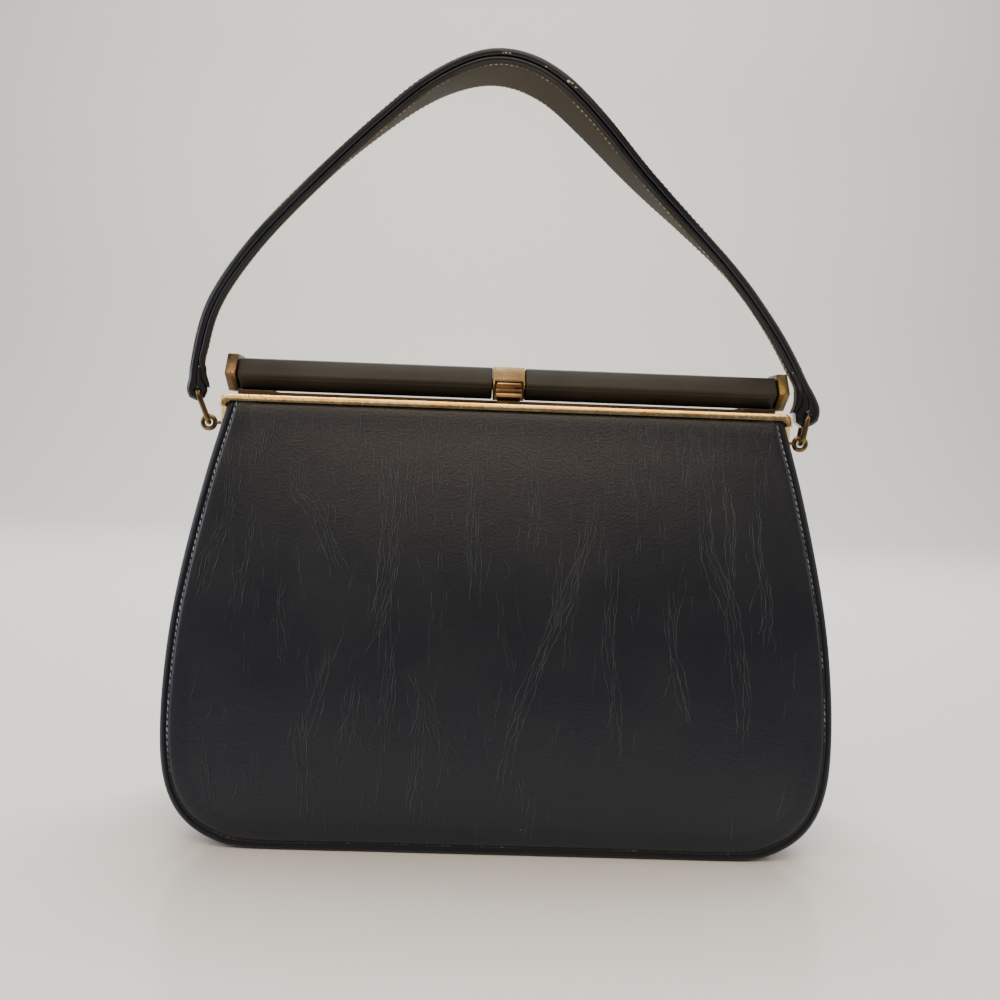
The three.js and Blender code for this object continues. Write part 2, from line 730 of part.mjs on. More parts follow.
// Hinge pin with a head inside, a collar outside, and an eye that faces the front
function hingeEyeGeometry(hand) {
  const span = (from, to) => [hand * from, hand * to].sort((a, b) => a - b);
  const collarStart = railHalf + gap;
  let pin = rodAlongX(pinRadius, ...span(pinHead.start, eyeX - eyeRing), 0, hingeZ, facets.pin);
  pin = pin.add(rodAlongX(pinHead.radius, ...span(pinHead.start, pinHead.end), 0, hingeZ, facets.head));
  const collar = span(collarStart, collarStart + pinCollar.length);
  pin = pin.add(rodAlongX(pinCollar.radius, ...collar, 0, hingeZ, facets.head));
  const ring = new THREE.TorusGeometry(eyeRing, eyeWire, facets.wire, facets.ring);
  ring.rotateX(Math.PI / 2);
  ring.translate(hand * eyeX, 0, hingeZ);
  return fromSolid(pin.add(toSolid(weld(ring.toNonIndexed()))));
}

const upright = new THREE.Vector3(0, 0, 1);

// Wire link: a rounded rectangle through the eye and the fold of the strap
function linkGeometry(hand, fold) {
  const eye = new THREE.Vector3(hand * eyeX, 0, hingeZ);
  const rise = new THREE.Vector3(fold.x, 0, fold.z).sub(eye);
  const length = rise.length();
  const up = rise.normalize();
  const across = new THREE.Vector3(0, 1, 0).applyAxisAngle(upright, THREE.MathUtils.degToRad(fold.turn));
  const normal = new THREE.Vector3().crossVectors(across, up);
  const arcSteps = 4;
  const corners = [
    { v: linkHalf - linkCorner, u: linkCorner, start: -Math.PI / 2 },
    { v: linkHalf - linkCorner, u: length - linkCorner, start: 0 },
    { v: -linkHalf + linkCorner, u: length - linkCorner, start: Math.PI / 2 },
    { v: -linkHalf + linkCorner, u: linkCorner, start: Math.PI },
  ];
  const rings = [];
  for (const corner of corners) {
    for (let k = 0; k <= arcSteps; k += 1) {
      const turn = corner.start + (k / arcSteps) * (Math.PI / 2);
      const out = across.clone().multiplyScalar(Math.cos(turn)).addScaledVector(up, Math.sin(turn));
      const centre = eye.clone().addScaledVector(across, corner.v).addScaledVector(up, corner.u);
      centre.addScaledVector(out, linkCorner);
      const ring = [];
      for (let side = 0; side < facets.wire; side += 1) {
        const angle = (side / facets.wire) * Math.PI * 2;
        const point = centre.clone().addScaledVector(out, linkWire * Math.cos(angle));
        ring.push(point.addScaledVector(normal, linkWire * Math.sin(angle)));
      }
      rings.push(ring);
    }
  }
  return sweepRings(rings, true);
}

const handleCurve = new THREE.CatmullRomCurve3(
  handleRows.map((row) => new THREE.Vector3(row.x, 0, row.z)), false, 'centripetal',
);

// Place on the handle: point of the front edge, outward direction, width, roll and thickness of both layers
function handleStation(share) {
  const point = handleCurve.getPointAt(share);
  const tangent = handleCurve.getTangentAt(share);
  const column = (name) => lookUp(strapRows, 'share', share, name);
  return {
    point,
    out: new THREE.Vector3(-tangent.z, 0, tangent.x),
    wide: column('wide'),
    roll: THREE.MathUtils.degToRad(column('roll')),
    outer: column('outer'),
    inner: column('inner'),
  };
}

// Section of one strap layer round a point of its middle line, with its own edge on each face
function strapRing({ point, out, wide, roll, thick, dome, outEdge, inEdge }) {
  const half = wide / 2;
  const top = Math.min(outEdge, thick / 3);
  const low = Math.min(inEdge, thick / 3);
  const section = [
    [-half, -thick / 2 + low], [-half, thick / 2 - top], [-half + top, thick / 2], [0, thick / 2 + dome],
    [half - top, thick / 2], [half, thick / 2 - top], [half, -thick / 2 + low], [half - low, -thick / 2],
    [-half + low, -thick / 2],
  ];
  const across = new THREE.Vector3(0, 1, 0);
  const along = across.clone().multiplyScalar(Math.cos(roll)).addScaledVector(out, Math.sin(roll));
  const rise = out.clone().multiplyScalar(Math.cos(roll)).addScaledVector(across, -Math.sin(roll));
  const start = point.clone().addScaledVector(out, half * Math.sin(roll));
  return section.map(([v, u]) => start.clone().addScaledVector(along, v).addScaledVector(rise, u));
}

// Rings of a layer's end, from its tip to the main run, turned with the fold about the upright
function endRings(rows, hand, fold, edges) {
  const centre = new THREE.Vector3(fold.x, 0, 0);
  const turn = THREE.MathUtils.degToRad(fold.turn);
  return rows.map((row, i) => {
    const before = rows[Math.max(i - 1, 0)];
    const after = rows[Math.min(i + 1, rows.length - 1)];
    const out = new THREE.Vector3(hand * (after.rise - before.rise), 0, after.inward - before.inward);
    out.normalize();
    const point = new THREE.Vector3(fold.x - hand * row.inward, 0, fold.z + row.rise);
    const { thick } = row;
    const ring = strapRing({ point, out, wide: strapRows[0].wide, roll: 0, thick, dome: 0, ...edges });
    return ring.map((corner) => corner.sub(centre).applyAxisAngle(upright, turn).add(centre));
  });
}

// Outer layer of the handle, folded round the link at each end
function strapGeometry() {
  const edges = { outEdge: freeEdge, inEdge: seamEdge };
  const rings = endRings(outerEnds.left, -1, foldLeft, edges);
  for (let i = 0; i <= strapStations; i += 1) {
    const { point, out, wide, roll, outer, inner } = handleStation(i / strapStations);
    point.addScaledVector(out, (inner + gap) / 2);
    rings.push(strapRing({ point, out, wide, roll, thick: outer, dome: strapDome, ...edges }));
  }
  rings.push(...endRings(outerEnds.right, 1, foldRight, edges).reverse());
  return sweepRings(rings, false);
}

// Inner layer of the handle, whose ends lie over the tails of the outer one
function liningGeometry() {
  const edges = { outEdge: seamEdge, inEdge: freeEdge };
  const rings = endRings(innerEnds.left, -1, foldLeft, edges);
  for (let i = 0; i <= strapStations; i += 1) {
    const { point, out, wide, roll, outer, inner } = handleStation(i / strapStations);
    point.addScaledVector(out, -(outer + gap) / 2);
    rings.push(strapRing({ point, out, wide, roll, thick: inner, dome: 0, ...edges }));
  }
  rings.push(...endRings(innerEnds.right, 1, foldRight, edges).reverse());
  return sweepRings(rings, false);
}

const purse = new THREE.Group();
purse.name = 'frame_purse';

function addPiece(name, geometry, material) {
  const mesh = new THREE.Mesh(geometry, material);
  mesh.name = name;
  purse.add(mesh);
}

addPiece('front_panel', panelGeometry(-1), blackLeather);
addPiece('back_panel', panelGeometry(1), blackLeather);
addPiece('gusset', gussetGeometry(), blackLeather);
addPiece('front_frame', frontFrameGeometry(), brass);
addPiece('back_frame', backFrameGeometry(), brass);
addPiece('bar_core', barCoreGeometry(), brass);
addPiece('clasp_tongue', tongueGeometry(), brass);
for (const { word, hand, fold } of [
  { word: 'left', hand: -1, fold: foldLeft },
  { word: 'right', hand: 1, fold: foldRight },
]) {
  addPiece(`bar_cover_${word}`, coverGeometry(hand), blackLeather);
  addPiece(`end_cap_${word}`, capGeometry(hand), brass);
  addPiece(`hinge_eye_${word}`, hingeEyeGeometry(hand), brass);
  addPiece(`link_${word}`, linkGeometry(hand, fold), brass);
}
addPiece('handle_strap', strapGeometry(), strapLeather);
addPiece('handle_lining', liningGeometry(), strapLeather);

export default purse;
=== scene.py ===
import math
import random

import bpy
from mathutils import Matrix, Vector
from mathutils.bvhtree import BVHTree


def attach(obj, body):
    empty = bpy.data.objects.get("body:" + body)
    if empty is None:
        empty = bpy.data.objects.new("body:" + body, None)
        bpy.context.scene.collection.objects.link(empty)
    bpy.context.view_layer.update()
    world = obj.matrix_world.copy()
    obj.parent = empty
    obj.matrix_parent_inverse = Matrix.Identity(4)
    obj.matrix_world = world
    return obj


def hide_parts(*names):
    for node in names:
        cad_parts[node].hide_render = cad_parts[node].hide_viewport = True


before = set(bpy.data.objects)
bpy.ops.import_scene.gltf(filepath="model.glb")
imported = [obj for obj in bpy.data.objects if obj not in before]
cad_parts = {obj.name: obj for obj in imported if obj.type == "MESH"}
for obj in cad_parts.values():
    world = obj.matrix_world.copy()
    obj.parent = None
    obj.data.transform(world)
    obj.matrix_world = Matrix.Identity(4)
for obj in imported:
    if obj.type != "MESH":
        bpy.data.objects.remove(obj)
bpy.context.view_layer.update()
bpy.ops.object.select_all(action="DESELECT")  # loading leaves the CAD nodes selected
mm = 0.001


# Small tools, which take lengths in mm

limits = {
    "merge": 0.01, "mergeRounded": 0.003,  # corners this close become one, mm
    "flat": 1, "quadFace": 60, "quadShape": 70,  # faces this much alike are joined, degrees
    "strapSharp": 30, "metalSharp": 28, "railSharp": 40,  # edges sharper than this are rounded, degrees
    "metalSmooth": 35, "leatherSmooth": 60,  # edges up to this are shaded smooth, degrees
}
castFrom = 0.2  # rays start this far in front of or behind the purse, m


def toLinear(hexText):
    channels = [int(hexText[i:i + 2], 16) / 255 for i in (0, 2, 4)]
    return [c / 12.92 if c <= 0.04045 else ((c + 0.055) / 1.055) ** 2.4 for c in channels] + [1.0]


def addNode(tree, kind, inputs=None, stops=None, **settings):  # stops are the two colours of a ramp
    node = tree.nodes.new(kind)
    for key, value in settings.items():
        setattr(node, key, value)
    for key, value in (inputs or {}).items():
        if isinstance(value, bpy.types.NodeSocket):
            tree.links.new(value, node.inputs[key])
        else:
            node.inputs[key].default_value = value
    if stops:
        for element, (place, hexText) in zip(node.color_ramp.elements, stops):
            element.position = place
            element.color = toLinear(hexText)
    return node


def pickOnly(*objects):
    bpy.ops.object.select_all(action="DESELECT")
    for obj in objects:
        obj.select_set(True)
    bpy.context.view_layer.objects.active = objects[0]


def applyAll(piece):
    pickOnly(piece)
    for name in [modifier.name for modifier in piece.modifiers]:
        bpy.ops.object.modifier_apply(modifier=name)


def copyNode(nodeName, pieceName):  # a loose copy of a CAD node, with its corners merged and its faces selected
    piece = bpy.data.objects.new(pieceName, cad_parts[nodeName].data.copy())
    bpy.context.scene.collection.objects.link(piece)
    piece.data.materials.clear()
    pickOnly(piece)
    bpy.ops.mesh.customdata_custom_splitnormals_clear()
    bpy.ops.object.mode_set(mode="EDIT")
    bpy.ops.mesh.select_all(action="SELECT")
    bpy.ops.mesh.remove_doubles(threshold=limits["merge"] * mm)
    bpy.ops.object.mode_set(mode="OBJECT")
    return piece


def pairTriangles():  # four-sided faces from the selected triangles, in edit mode
    bpy.ops.mesh.tris_convert_to_quads(
        face_threshold=math.radians(limits["quadFace"]), shape_threshold=math.radians(limits["quadShape"]),
    )


def subdivide(piece, levels):  # comes after the modifiers that the piece already has
    smooth = piece.modifiers.new("smooth", "SUBSURF")
    smooth.levels = smooth.render_levels = levels
    applyAll(piece)
    bpy.ops.object.shade_smooth()


def softCopy(nodeName, pieceName, levels):  # leather and wire: four-sided faces, then subdivision
    piece = copyNode(nodeName, pieceName)
    bpy.ops.object.mode_set(mode="EDIT")
    pairTriangles()
    bpy.ops.object.mode_set(mode="OBJECT")
    subdivide(piece, levels)
    return piece


def strapCopy(nodeName, pieceName, edge, below, levels):  # strap: a narrow bevel holds the edges of its ends
    piece = copyNode(nodeName, pieceName)
    bpy.ops.object.mode_set(mode="EDIT")
    pairTriangles()
    bpy.ops.mesh.select_mode(type="EDGE")
    bpy.ops.mesh.select_all(action="DESELECT")
    bpy.ops.mesh.edges_select_sharp(sharpness=math.radians(limits["strapSharp"]))
    bpy.ops.object.mode_set(mode="OBJECT")
    weights = piece.data.attributes.new("bevel_weight_edge", "FLOAT", "EDGE")
    for line in piece.data.edges:
        atEnd = all(piece.data.vertices[i].co.z < below * mm for i in line.vertices)
        weights.data[line.index].value = 1.0 if line.select and atEnd else 0.0
    held = piece.modifiers.new("held", "BEVEL")
    held.width = edge * mm
    held.segments = 2
    held.limit_method = "WEIGHT"
    held.use_clamp_overlap = False
    subdivide(piece, levels)
    return piece


def flatCopy(nodeName, pieceName):  # metal: flat faces joined up
    piece = copyNode(nodeName, pieceName)
    bpy.ops.object.mode_set(mode="EDIT")
    bpy.ops.mesh.dissolve_limited(angle_limit=math.radians(limits["flat"]))
    bpy.ops.object.mode_set(mode="OBJECT")
    return piece


def roundSharp(piece, edge, steps, sharp, clamp):  # rounds all sharp edges and merges corners left in one place
    rounded = piece.modifiers.new("rounded", "BEVEL")
    rounded.width = edge * mm
    rounded.segments = steps
    rounded.limit_method = "ANGLE"
    rounded.angle_limit = math.radians(sharp)
    rounded.use_clamp_overlap = clamp
    applyAll(piece)
    bpy.ops.object.mode_set(mode="EDIT")
    bpy.ops.mesh.select_all(action="SELECT")
    bpy.ops.mesh.remove_doubles(threshold=limits["mergeRounded"] * mm)
    bpy.ops.mesh.dissolve_degenerate(threshold=limits["mergeRounded"] * mm)
    bpy.ops.object.mode_set(mode="OBJECT")
    bpy.ops.object.shade_smooth_by_angle(angle=math.radians(limits["metalSmooth"]))


def hardCopy(nodeName, pieceName, edge, steps):  # metal and the covered bar: flat faces with rounded edges
    piece = flatCopy(nodeName, pieceName)
    roundSharp(piece, edge, steps, limits["metalSharp"], True)
    return piece


def roundEdges(piece, offset, steps, picked):  # rounds the edges whose two ends are both picked
    pickOnly(piece)
    bpy.ops.object.mode_set(mode="EDIT")
    bpy.ops.mesh.select_mode(type="EDGE")
    bpy.ops.mesh.select_all(action="DESELECT")
    bpy.ops.object.mode_set(mode="OBJECT")
    for edge in piece.data.edges:
        edge.select = all(picked(piece.data.vertices[i].co / mm) for i in edge.vertices)
    bpy.ops.object.mode_set(mode="EDIT")
    bpy.ops.mesh.bevel(offset=offset * mm, segments=steps, affect="EDGES", clamp_overlap=True)
    bpy.ops.object.mode_set(mode="OBJECT")


def fatten(piece, amount):  # moves every face outwards
    pickOnly(piece)
    bpy.ops.object.mode_set(mode="EDIT")
    bpy.ops.mesh.select_all(action="SELECT")
    bpy.ops.transform.shrink_fatten(value=amount * mm)
    bpy.ops.object.mode_set(mode="OBJECT")


def meshPiece(pieceName, points, faces, finish):  # closed shells, with the number of each face's material
    mesh = bpy.data.meshes.new(pieceName)
    mesh.from_pydata(points, [], faces)
    mesh.polygons.foreach_set("material_index", finish)
    piece = bpy.data.objects.new(pieceName, mesh)
    bpy.context.scene.collection.objects.link(piece)
    pickOnly(piece)
    bpy.ops.object.mode_set(mode="EDIT")
    bpy.ops.mesh.select_all(action="SELECT")
    bpy.ops.mesh.normals_make_consistent(inside=False)
    bpy.ops.object.mode_set(mode="OBJECT")
    return piece


def rayTree(piece):
    return BVHTree.FromObject(piece, bpy.context.evaluated_depsgraph_get())


def castAt(tree, x, z, side):  # where a level ray from the front (side -1) or the back (side 1) meets a piece
    return tree.ray_cast(Vector((x * mm, side * castFrom, z * mm)), Vector((0, -side, 0)))


def seat(piece, material, body, slotName, *nodes):  # nodes are the CAD nodes that the piece stands for
    piece.data.materials.append(material)
    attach(piece, body)
    if nodes:
        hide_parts(*nodes)
    return piece


# Materials; pattern sizes are in mm

noiseSpan = (0.3, 0.7)  # most of a noise pattern's values lie between these
leatherPattern = {
    "cloud": 34, "nickCore": 0.2, "nickRim": 0.35, "nickShow": 0.55, "nickTone": "b8b4ad",
    "grainShare": 0.8, "grainHigh": 0.1, "waveHigh": 0.4,
}
brassPattern = {
    "bloom": 9, "fleck": 0.6, "fleckRim": 0.05, "fleckDull": 0.3,
    "scuff": 2.5, "scuffDeep": 0.15, "scuffHigh": 0.05,
}
# base, low and right place the painted shade that darkens the seam thread towards the base and low on the right
threadPattern = {
    "dirt": 9, "darkBy": -0.2, "base": (4.0, 40.0), "low": (70.0, 125.0), "right": (40.0, 100.0),
    "twist": 0.3, "twistDeep": 0.5, "twistHigh": 0.1, "rough": 0.7,
}


def newMaterial(name):  # an empty material, with its object coordinates in m
    material = bpy.data.materials.new(name)
    material.use_nodes = True
    tree = material.node_tree
    tree.nodes.clear()
    return material, tree, addNode(tree, "ShaderNodeTexCoord").outputs["Object"]


def makeLeather(name, settings):
    # Coated calf leather, plated smooth: semi-gloss, fine pores, a drier bloom and a few pale nicks
    material, tree, place = newMaterial(name)
    inMm = addNode(tree, "ShaderNodeMapping", {"Vector": place, "Scale": (1 / mm,) * 3}).outputs[0]
    cloud = addNode(
        tree, "ShaderNodeTexNoise",
        {"Vector": inMm, "Scale": 1 / leatherPattern["cloud"], "Detail": 3.0, "Roughness": 0.6},
    ).outputs[0]
    tone = addNode(tree, "ShaderNodeValToRGB", {"Fac": cloud}, settings["tones"]).outputs[0]
    apart = settings["nickApart"]
    spots = addNode(
        tree, "ShaderNodeTexVoronoi", {"Vector": inMm, "Scale": 1 / apart, "Randomness": 1.0},
    ).outputs["Distance"]
    nick = addNode(
        tree, "ShaderNodeMapRange",
        {
            0: spots, 1: leatherPattern["nickCore"] / apart, 2: leatherPattern["nickRim"] / apart,
            3: leatherPattern["nickShow"], 4: 0.0,
        },
    ).outputs[0]
    marked = addNode(
        tree, "ShaderNodeMix", {0: nick, 6: tone, 7: toLinear(leatherPattern["nickTone"])}, data_type="RGBA",
    ).outputs[2]
    grain = addNode(
        tree, "ShaderNodeTexNoise", {"Vector": inMm, "Scale": 1 / settings["grain"], "Detail": 3.0},
    ).outputs[0]
    pores = addNode(
        tree, "ShaderNodeTexVoronoi", {"Vector": inMm, "Scale": 1 / settings["pore"]},
    ).outputs["Distance"]
    relief = addNode(
        tree, "ShaderNodeMath", {0: grain, 1: leatherPattern["grainShare"], 2: pores},
        operation="MULTIPLY_ADD",
    ).outputs[0]
    fine = addNode(
        tree, "ShaderNodeBump",
        {"Height": relief, "Strength": settings["grainDeep"], "Distance": leatherPattern["grainHigh"] * mm},
    ).outputs[0]
    waves = addNode(
        tree, "ShaderNodeTexNoise",
        {"Vector": inMm, "Scale": 1 / settings["wave"], "Detail": 2.0, "Roughness": 0.45},
    ).outputs[0]
    uneven = addNode(
        tree, "ShaderNodeBump",
        {
            "Height": waves, "Strength": settings["waveDeep"], "Distance": leatherPattern["waveHigh"] * mm,
            "Normal": fine,
        },
    ).outputs[0]
    dry = addNode(
        tree, "ShaderNodeMapRange",
        {0: cloud, 1: noiseSpan[0], 2: noiseSpan[1], 3: settings["rough"][0], 4: settings["rough"][1]},
    ).outputs[0]
    # Specular Tint colours the reflections; the cool tints are painted reflection colour, standing in for cool
    # light
    shader = addNode(
        tree, "ShaderNodeBsdfPrincipled",
        {
            "Base Color": marked, "Roughness": dry, "Normal": uneven,
            "Specular IOR Level": settings["shine"], "Specular Tint": toLinear(settings["tint"]),
        },
    )
    addNode(tree, "ShaderNodeOutputMaterial", {"Surface": shader.outputs[0]})
    return material


def makeBrass(name, settings):
    # Lacquered brass whose lacquer has worn: yellow metal, brown bloom in patches, small dark specks
    material, tree, place = newMaterial(name)
    inMm = addNode(tree, "ShaderNodeMapping", {"Vector": place, "Scale": (1 / mm,) * 3}).outputs[0]
    bloom = addNode(
        tree, "ShaderNodeTexNoise",
        {"Vector": inMm, "Scale": 1 / brassPattern["bloom"], "Detail": 4.0, "Roughness": 0.65},
    ).outputs[0]
    tone = addNode(tree, "ShaderNodeValToRGB", {"Fac": bloom}, settings["tones"]).outputs[0]
    fleck = addNode(
        tree, "ShaderNodeTexNoise", {"Vector": inMm, "Scale": 1 / brassPattern["fleck"], "Detail": 2.0},
    ).outputs[0]
    patch = addNode(
        tree, "ShaderNodeMath", {0: bloom, 1: settings["fleckPull"], 2: fleck}, operation="MULTIPLY_ADD",
    ).outputs[0]
    rim = settings["fleck"] + brassPattern["fleckRim"]
    dark = addNode(
        tree, "ShaderNodeMapRange", {0: patch, 1: settings["fleck"], 2: rim, 3: 0.0, 4: 1.0},
    ).outputs[0]
    stain = addNode(
        tree, "ShaderNodeMix", {0: dark, 6: tone, 7: toLinear(settings["stain"])}, data_type="RGBA",
    ).outputs[2]
    scuff = addNode(
        tree, "ShaderNodeTexNoise",
        {"Vector": inMm, "Scale": 1 / brassPattern["scuff"], "Detail": 5.0, "Roughness": 0.7},
    ).outputs[0]
    worn = addNode(
        tree, "ShaderNodeMapRange",
        {0: scuff, 1: noiseSpan[0], 2: noiseSpan[1], 3: settings["rough"][0], 4: settings["rough"][1]},
    ).outputs[0]
    dull = addNode(
        tree, "ShaderNodeMath", {0: dark, 1: brassPattern["fleckDull"], 2: worn}, operation="MULTIPLY_ADD",
    ).outputs[0]
    uneven = addNode(
        tree, "ShaderNodeBump",
        {"Height": scuff, "Strength": brassPattern["scuffDeep"], "Distance": brassPattern["scuffHigh"] * mm},
    ).outputs[0]
    shader = addNode(
        tree, "ShaderNodeBsdfPrincipled",
        {"Base Color": stain, "Metallic": 1.0, "Roughness": dull, "Normal": uneven},
    )
    addNode(tree, "ShaderNodeOutputMaterial", {"Surface": shader.outputs[0]})
    return material


def makeThread(name, tones):
    # Waxed linen thread, twisted: pale and matt, with random dirt; darker towards the base and low on the
    # right, which is painted shade
    material, tree, place = newMaterial(name)
    inMm = addNode(tree, "ShaderNodeMapping", {"Vector": place, "Scale": (1 / mm,) * 3}).outputs[0]
    spot = addNode(tree, "ShaderNodeSeparateXYZ", {0: inMm}).outputs
    dirt = addNode(
        tree, "ShaderNodeTexNoise", {"Vector": inMm, "Scale": 1 / threadPattern["dirt"], "Detail": 3.0},
    ).outputs[0]
    darkBy = threadPattern["darkBy"]
    (baseFrom, baseTo), (lowFrom, lowTo) = threadPattern["base"], threadPattern["low"]
    rightFrom, rightTo = threadPattern["right"]
    # painted shade: the thread is darker towards the base and low on the right
    base = addNode(
        tree, "ShaderNodeMapRange", {0: spot["Z"], 1: baseFrom, 2: baseTo, 3: darkBy, 4: 0.0},
    ).outputs[0]
    low = addNode(
        tree, "ShaderNodeMapRange", {0: spot["Z"], 1: lowFrom, 2: lowTo, 3: darkBy, 4: 0.0},
    ).outputs[0]
    right = addNode(
        tree, "ShaderNodeMapRange", {0: spot["X"], 1: rightFrom, 2: rightTo, 3: 0.0, 4: 1.0},
    ).outputs[0]
    paintedShade = addNode(tree, "ShaderNodeMath", {0: low, 1: right, 2: base}, operation="MULTIPLY_ADD").outputs[0]
    worn = addNode(tree, "ShaderNodeMath", {0: dirt, 1: paintedShade}, operation="ADD").outputs[0]
    tone = addNode(tree, "ShaderNodeValToRGB", {"Fac": worn}, tones).outputs[0]
    twist = addNode(
        tree, "ShaderNodeTexNoise", {"Vector": inMm, "Scale": 1 / threadPattern["twist"], "Detail": 2.0},
    ).outputs[0]
    bump = addNode(
        tree, "ShaderNodeBump",
        {
            "Height": twist, "Strength": threadPattern["twistDeep"],
            "Distance": threadPattern["twistHigh"] * mm,
        },
    ).outputs[0]
    shader = addNode(
        tree, "ShaderNodeBsdfPrincipled",
        {"Base Color": tone, "Roughness": threadPattern["rough"], "Normal": bump},
    )
    addNode(tree, "ShaderNodeOutputMaterial", {"Surface": shader.outputs[0]})
    return material


panelLeather = makeLeather("coatedBlackCalf", {
    "tones": [(0.3, "0d1016"), (0.7, "14161a")],
    "grain": 1.1, "pore": 0.8, "grainDeep": 0.5, "wave": 14, "waveDeep": 0.3,
    "nickApart": 26, "rough": (0.37, 0.43), "shine": 0.56, "tint": "ecf1ff",
})
edgeLeather = makeLeather("dyedEdgeCalf", {
    "tones": [(0.3, "101216"), (0.7, "181b1f")],
    "grain": 0.9, "pore": 0.7, "grainDeep": 0.3, "wave": 9, "waveDeep": 0.2,
    "nickApart": 26, "rough": (0.42, 0.5), "shine": 0.32, "tint": "e4edff",
})
# Lit flank of the crease ridges: a lighter grey that is a painted highlight
paintedLightCreaseLeather = makeLeather("creaseCalfPaintedLight", {
    "tones": [(0.3, "2e3335"), (0.7, "464b4d")],
    "grain": 0.7, "pore": 0.6, "grainDeep": 0.3, "wave": 6, "waveDeep": 0.2,
    "nickApart": 26, "rough": (0.34, 0.42), "shine": 0.5, "tint": "e4edff",
})
# Near-black leather painted as shade: the seam's groove, the ends of the rolls, and the shaded flanks and tips
# of the creases
paintedShadeLeather = makeLeather("paintedShadeCalf", {
    "tones": [(0.3, "050506"), (0.7, "08080a")],
    "grain": 0.7, "pore": 0.6, "grainDeep": 0.3, "wave": 6, "waveDeep": 0.2,
    "nickApart": 26, "rough": (0.5, 0.6), "shine": 0.15, "tint": "ffffff",
})
barLeather = makeLeather("plainBarCalf", {
    "tones": [(0.3, "2b2924"), (0.7, "38352e")],
    "grain": 0.9, "pore": 0.7, "grainDeep": 0.2, "wave": 9, "waveDeep": 0.15,
    "nickApart": 17, "rough": (0.42, 0.5), "shine": 0.22, "tint": "ffffff",
})
strapLeather = makeLeather("wornStrapCalf", {
    "tones": [(0.3, "171614"), (0.7, "211f1c")],
    "grain": 0.9, "pore": 0.7, "grainDeep": 0.25, "wave": 9, "waveDeep": 0.25,
    "nickApart": 9, "rough": (0.26, 0.36), "shine": 0.5, "tint": "dfe9ff",
})
bareLeather = makeLeather("bareFlakedCalf", {
    "tones": [(0.3, "aca89e"), (0.7, "d0ccc4")],
    "grain": 0.5, "pore": 0.4, "grainDeep": 0.4, "wave": 4, "waveDeep": 0.2,
    "nickApart": 30, "rough": (0.5, 0.65), "shine": 0.4, "tint": "ffffff",
})
# Hand's side of the lining: dark, dry leather whose olive-brown hue is a painted reflection of warm yellow
# surroundings
liningLeather = makeLeather("drySuedePaintedOliveReflection", {
    "tones": [(0.3, "241f11"), (0.7, "322a19")],
    "grain": 0.8, "pore": 0.6, "grainDeep": 0.4, "wave": 9, "waveDeep": 0.2,
    "nickApart": 30, "rough": (0.62, 0.74), "shine": 0.18, "tint": "ffffff",
})
polishedBrass = makeBrass("wornLacqueredBrass", {
    "tones": [(0.3, "d0a55e"), (0.6, "f0d296")], "stain": "4e2c18",
    "fleck": 0.92, "fleckPull": 0.5, "rough": (0.16, 0.3),
})
satinBrass = makeBrass("satinBrass", {
    "tones": [(0.3, "866e4b"), (0.6, "a68c64")], "stain": "6b4526",
    "fleck": 1.0, "fleckPull": 0.6, "rough": (0.34, 0.46),
})
# Clasp lever: brown brass, darkened in part as painted shade of the recess it sits in
brownBrass = makeBrass("brownBrassWithPaintedShade", {
    "tones": [(0.3, "644c33"), (0.6, "987a55")], "stain": "3a2010",
    "fleck": 1.1, "fleckPull": 0.6, "rough": (0.28, 0.38),
})
tarnishedBrass = makeBrass("tarnishedBrass", {
    "tones": [(0.3, "54493b"), (0.7, "7e6c54")], "stain": "6e4a3a",
    "fleck": 0.88, "fleckPull": 0.6, "rough": (0.28, 0.42),
})
agedBrass = makeBrass("agedBrass", {
    "tones": [(0.3, "574a30"), (0.7, "7e6c45")], "stain": "4a3220",
    "fleck": 0.93, "fleckPull": 0.6, "rough": (0.26, 0.4),
})
antiqueBrass = makeBrass("antiqueBrass", {
    "tones": [(0.3, "4f4230"), (0.7, "86714c")], "stain": "2c1c10",
    "fleck": 0.95, "fleckPull": 0.6, "rough": (0.24, 0.38),
})
seamThread = makeThread("waxedLinenThread", [(0.3, "24262a"), (0.6, "a0a8b8")])
strapThread = makeThread("tannedLinenThread", [(0.4, "4a453a"), (0.64, "beb69e")])
print("materials done")


# Camera, where the photographer's was; its place and lens are in mm, its turns in radians

view = {
    "place": (-13.055, -430.064, 150.0), "yaw": 0.0265706, "pitch": -0.0483264, "roll": 0.0366291,
    "lens": 38.88, "sensor": 36, "nearest": 0.01,
}


def setCamera():
    yaw, pitch, roll = view["yaw"], view["pitch"], view["roll"]
    ahead = Vector((math.sin(yaw) * math.cos(pitch), math.cos(yaw) * math.cos(pitch), math.sin(pitch)))
    level = Vector((math.cos(yaw), -math.sin(yaw), 0))
    upright = level.cross(ahead)
    right = level * math.cos(roll) + upright * math.sin(roll)
    up = upright * math.cos(roll) - level * math.sin(roll)
    turn = Matrix((right, up, -ahead)).transposed().to_4x4()
    bpy.ops.object.camera_add()
    camera = bpy.context.object
    camera.data.sensor_width = view["sensor"]
    camera.data.lens = view["lens"]
    camera.data.clip_start = view["nearest"]
    camera.matrix_world = Matrix.Translation(Vector(view["place"]) * mm) @ turn
    bpy.context.scene.camera = camera


setCamera()
print("camera done")


# Stage: pale glossy table that runs up into a pale backdrop, and soft lights, in m

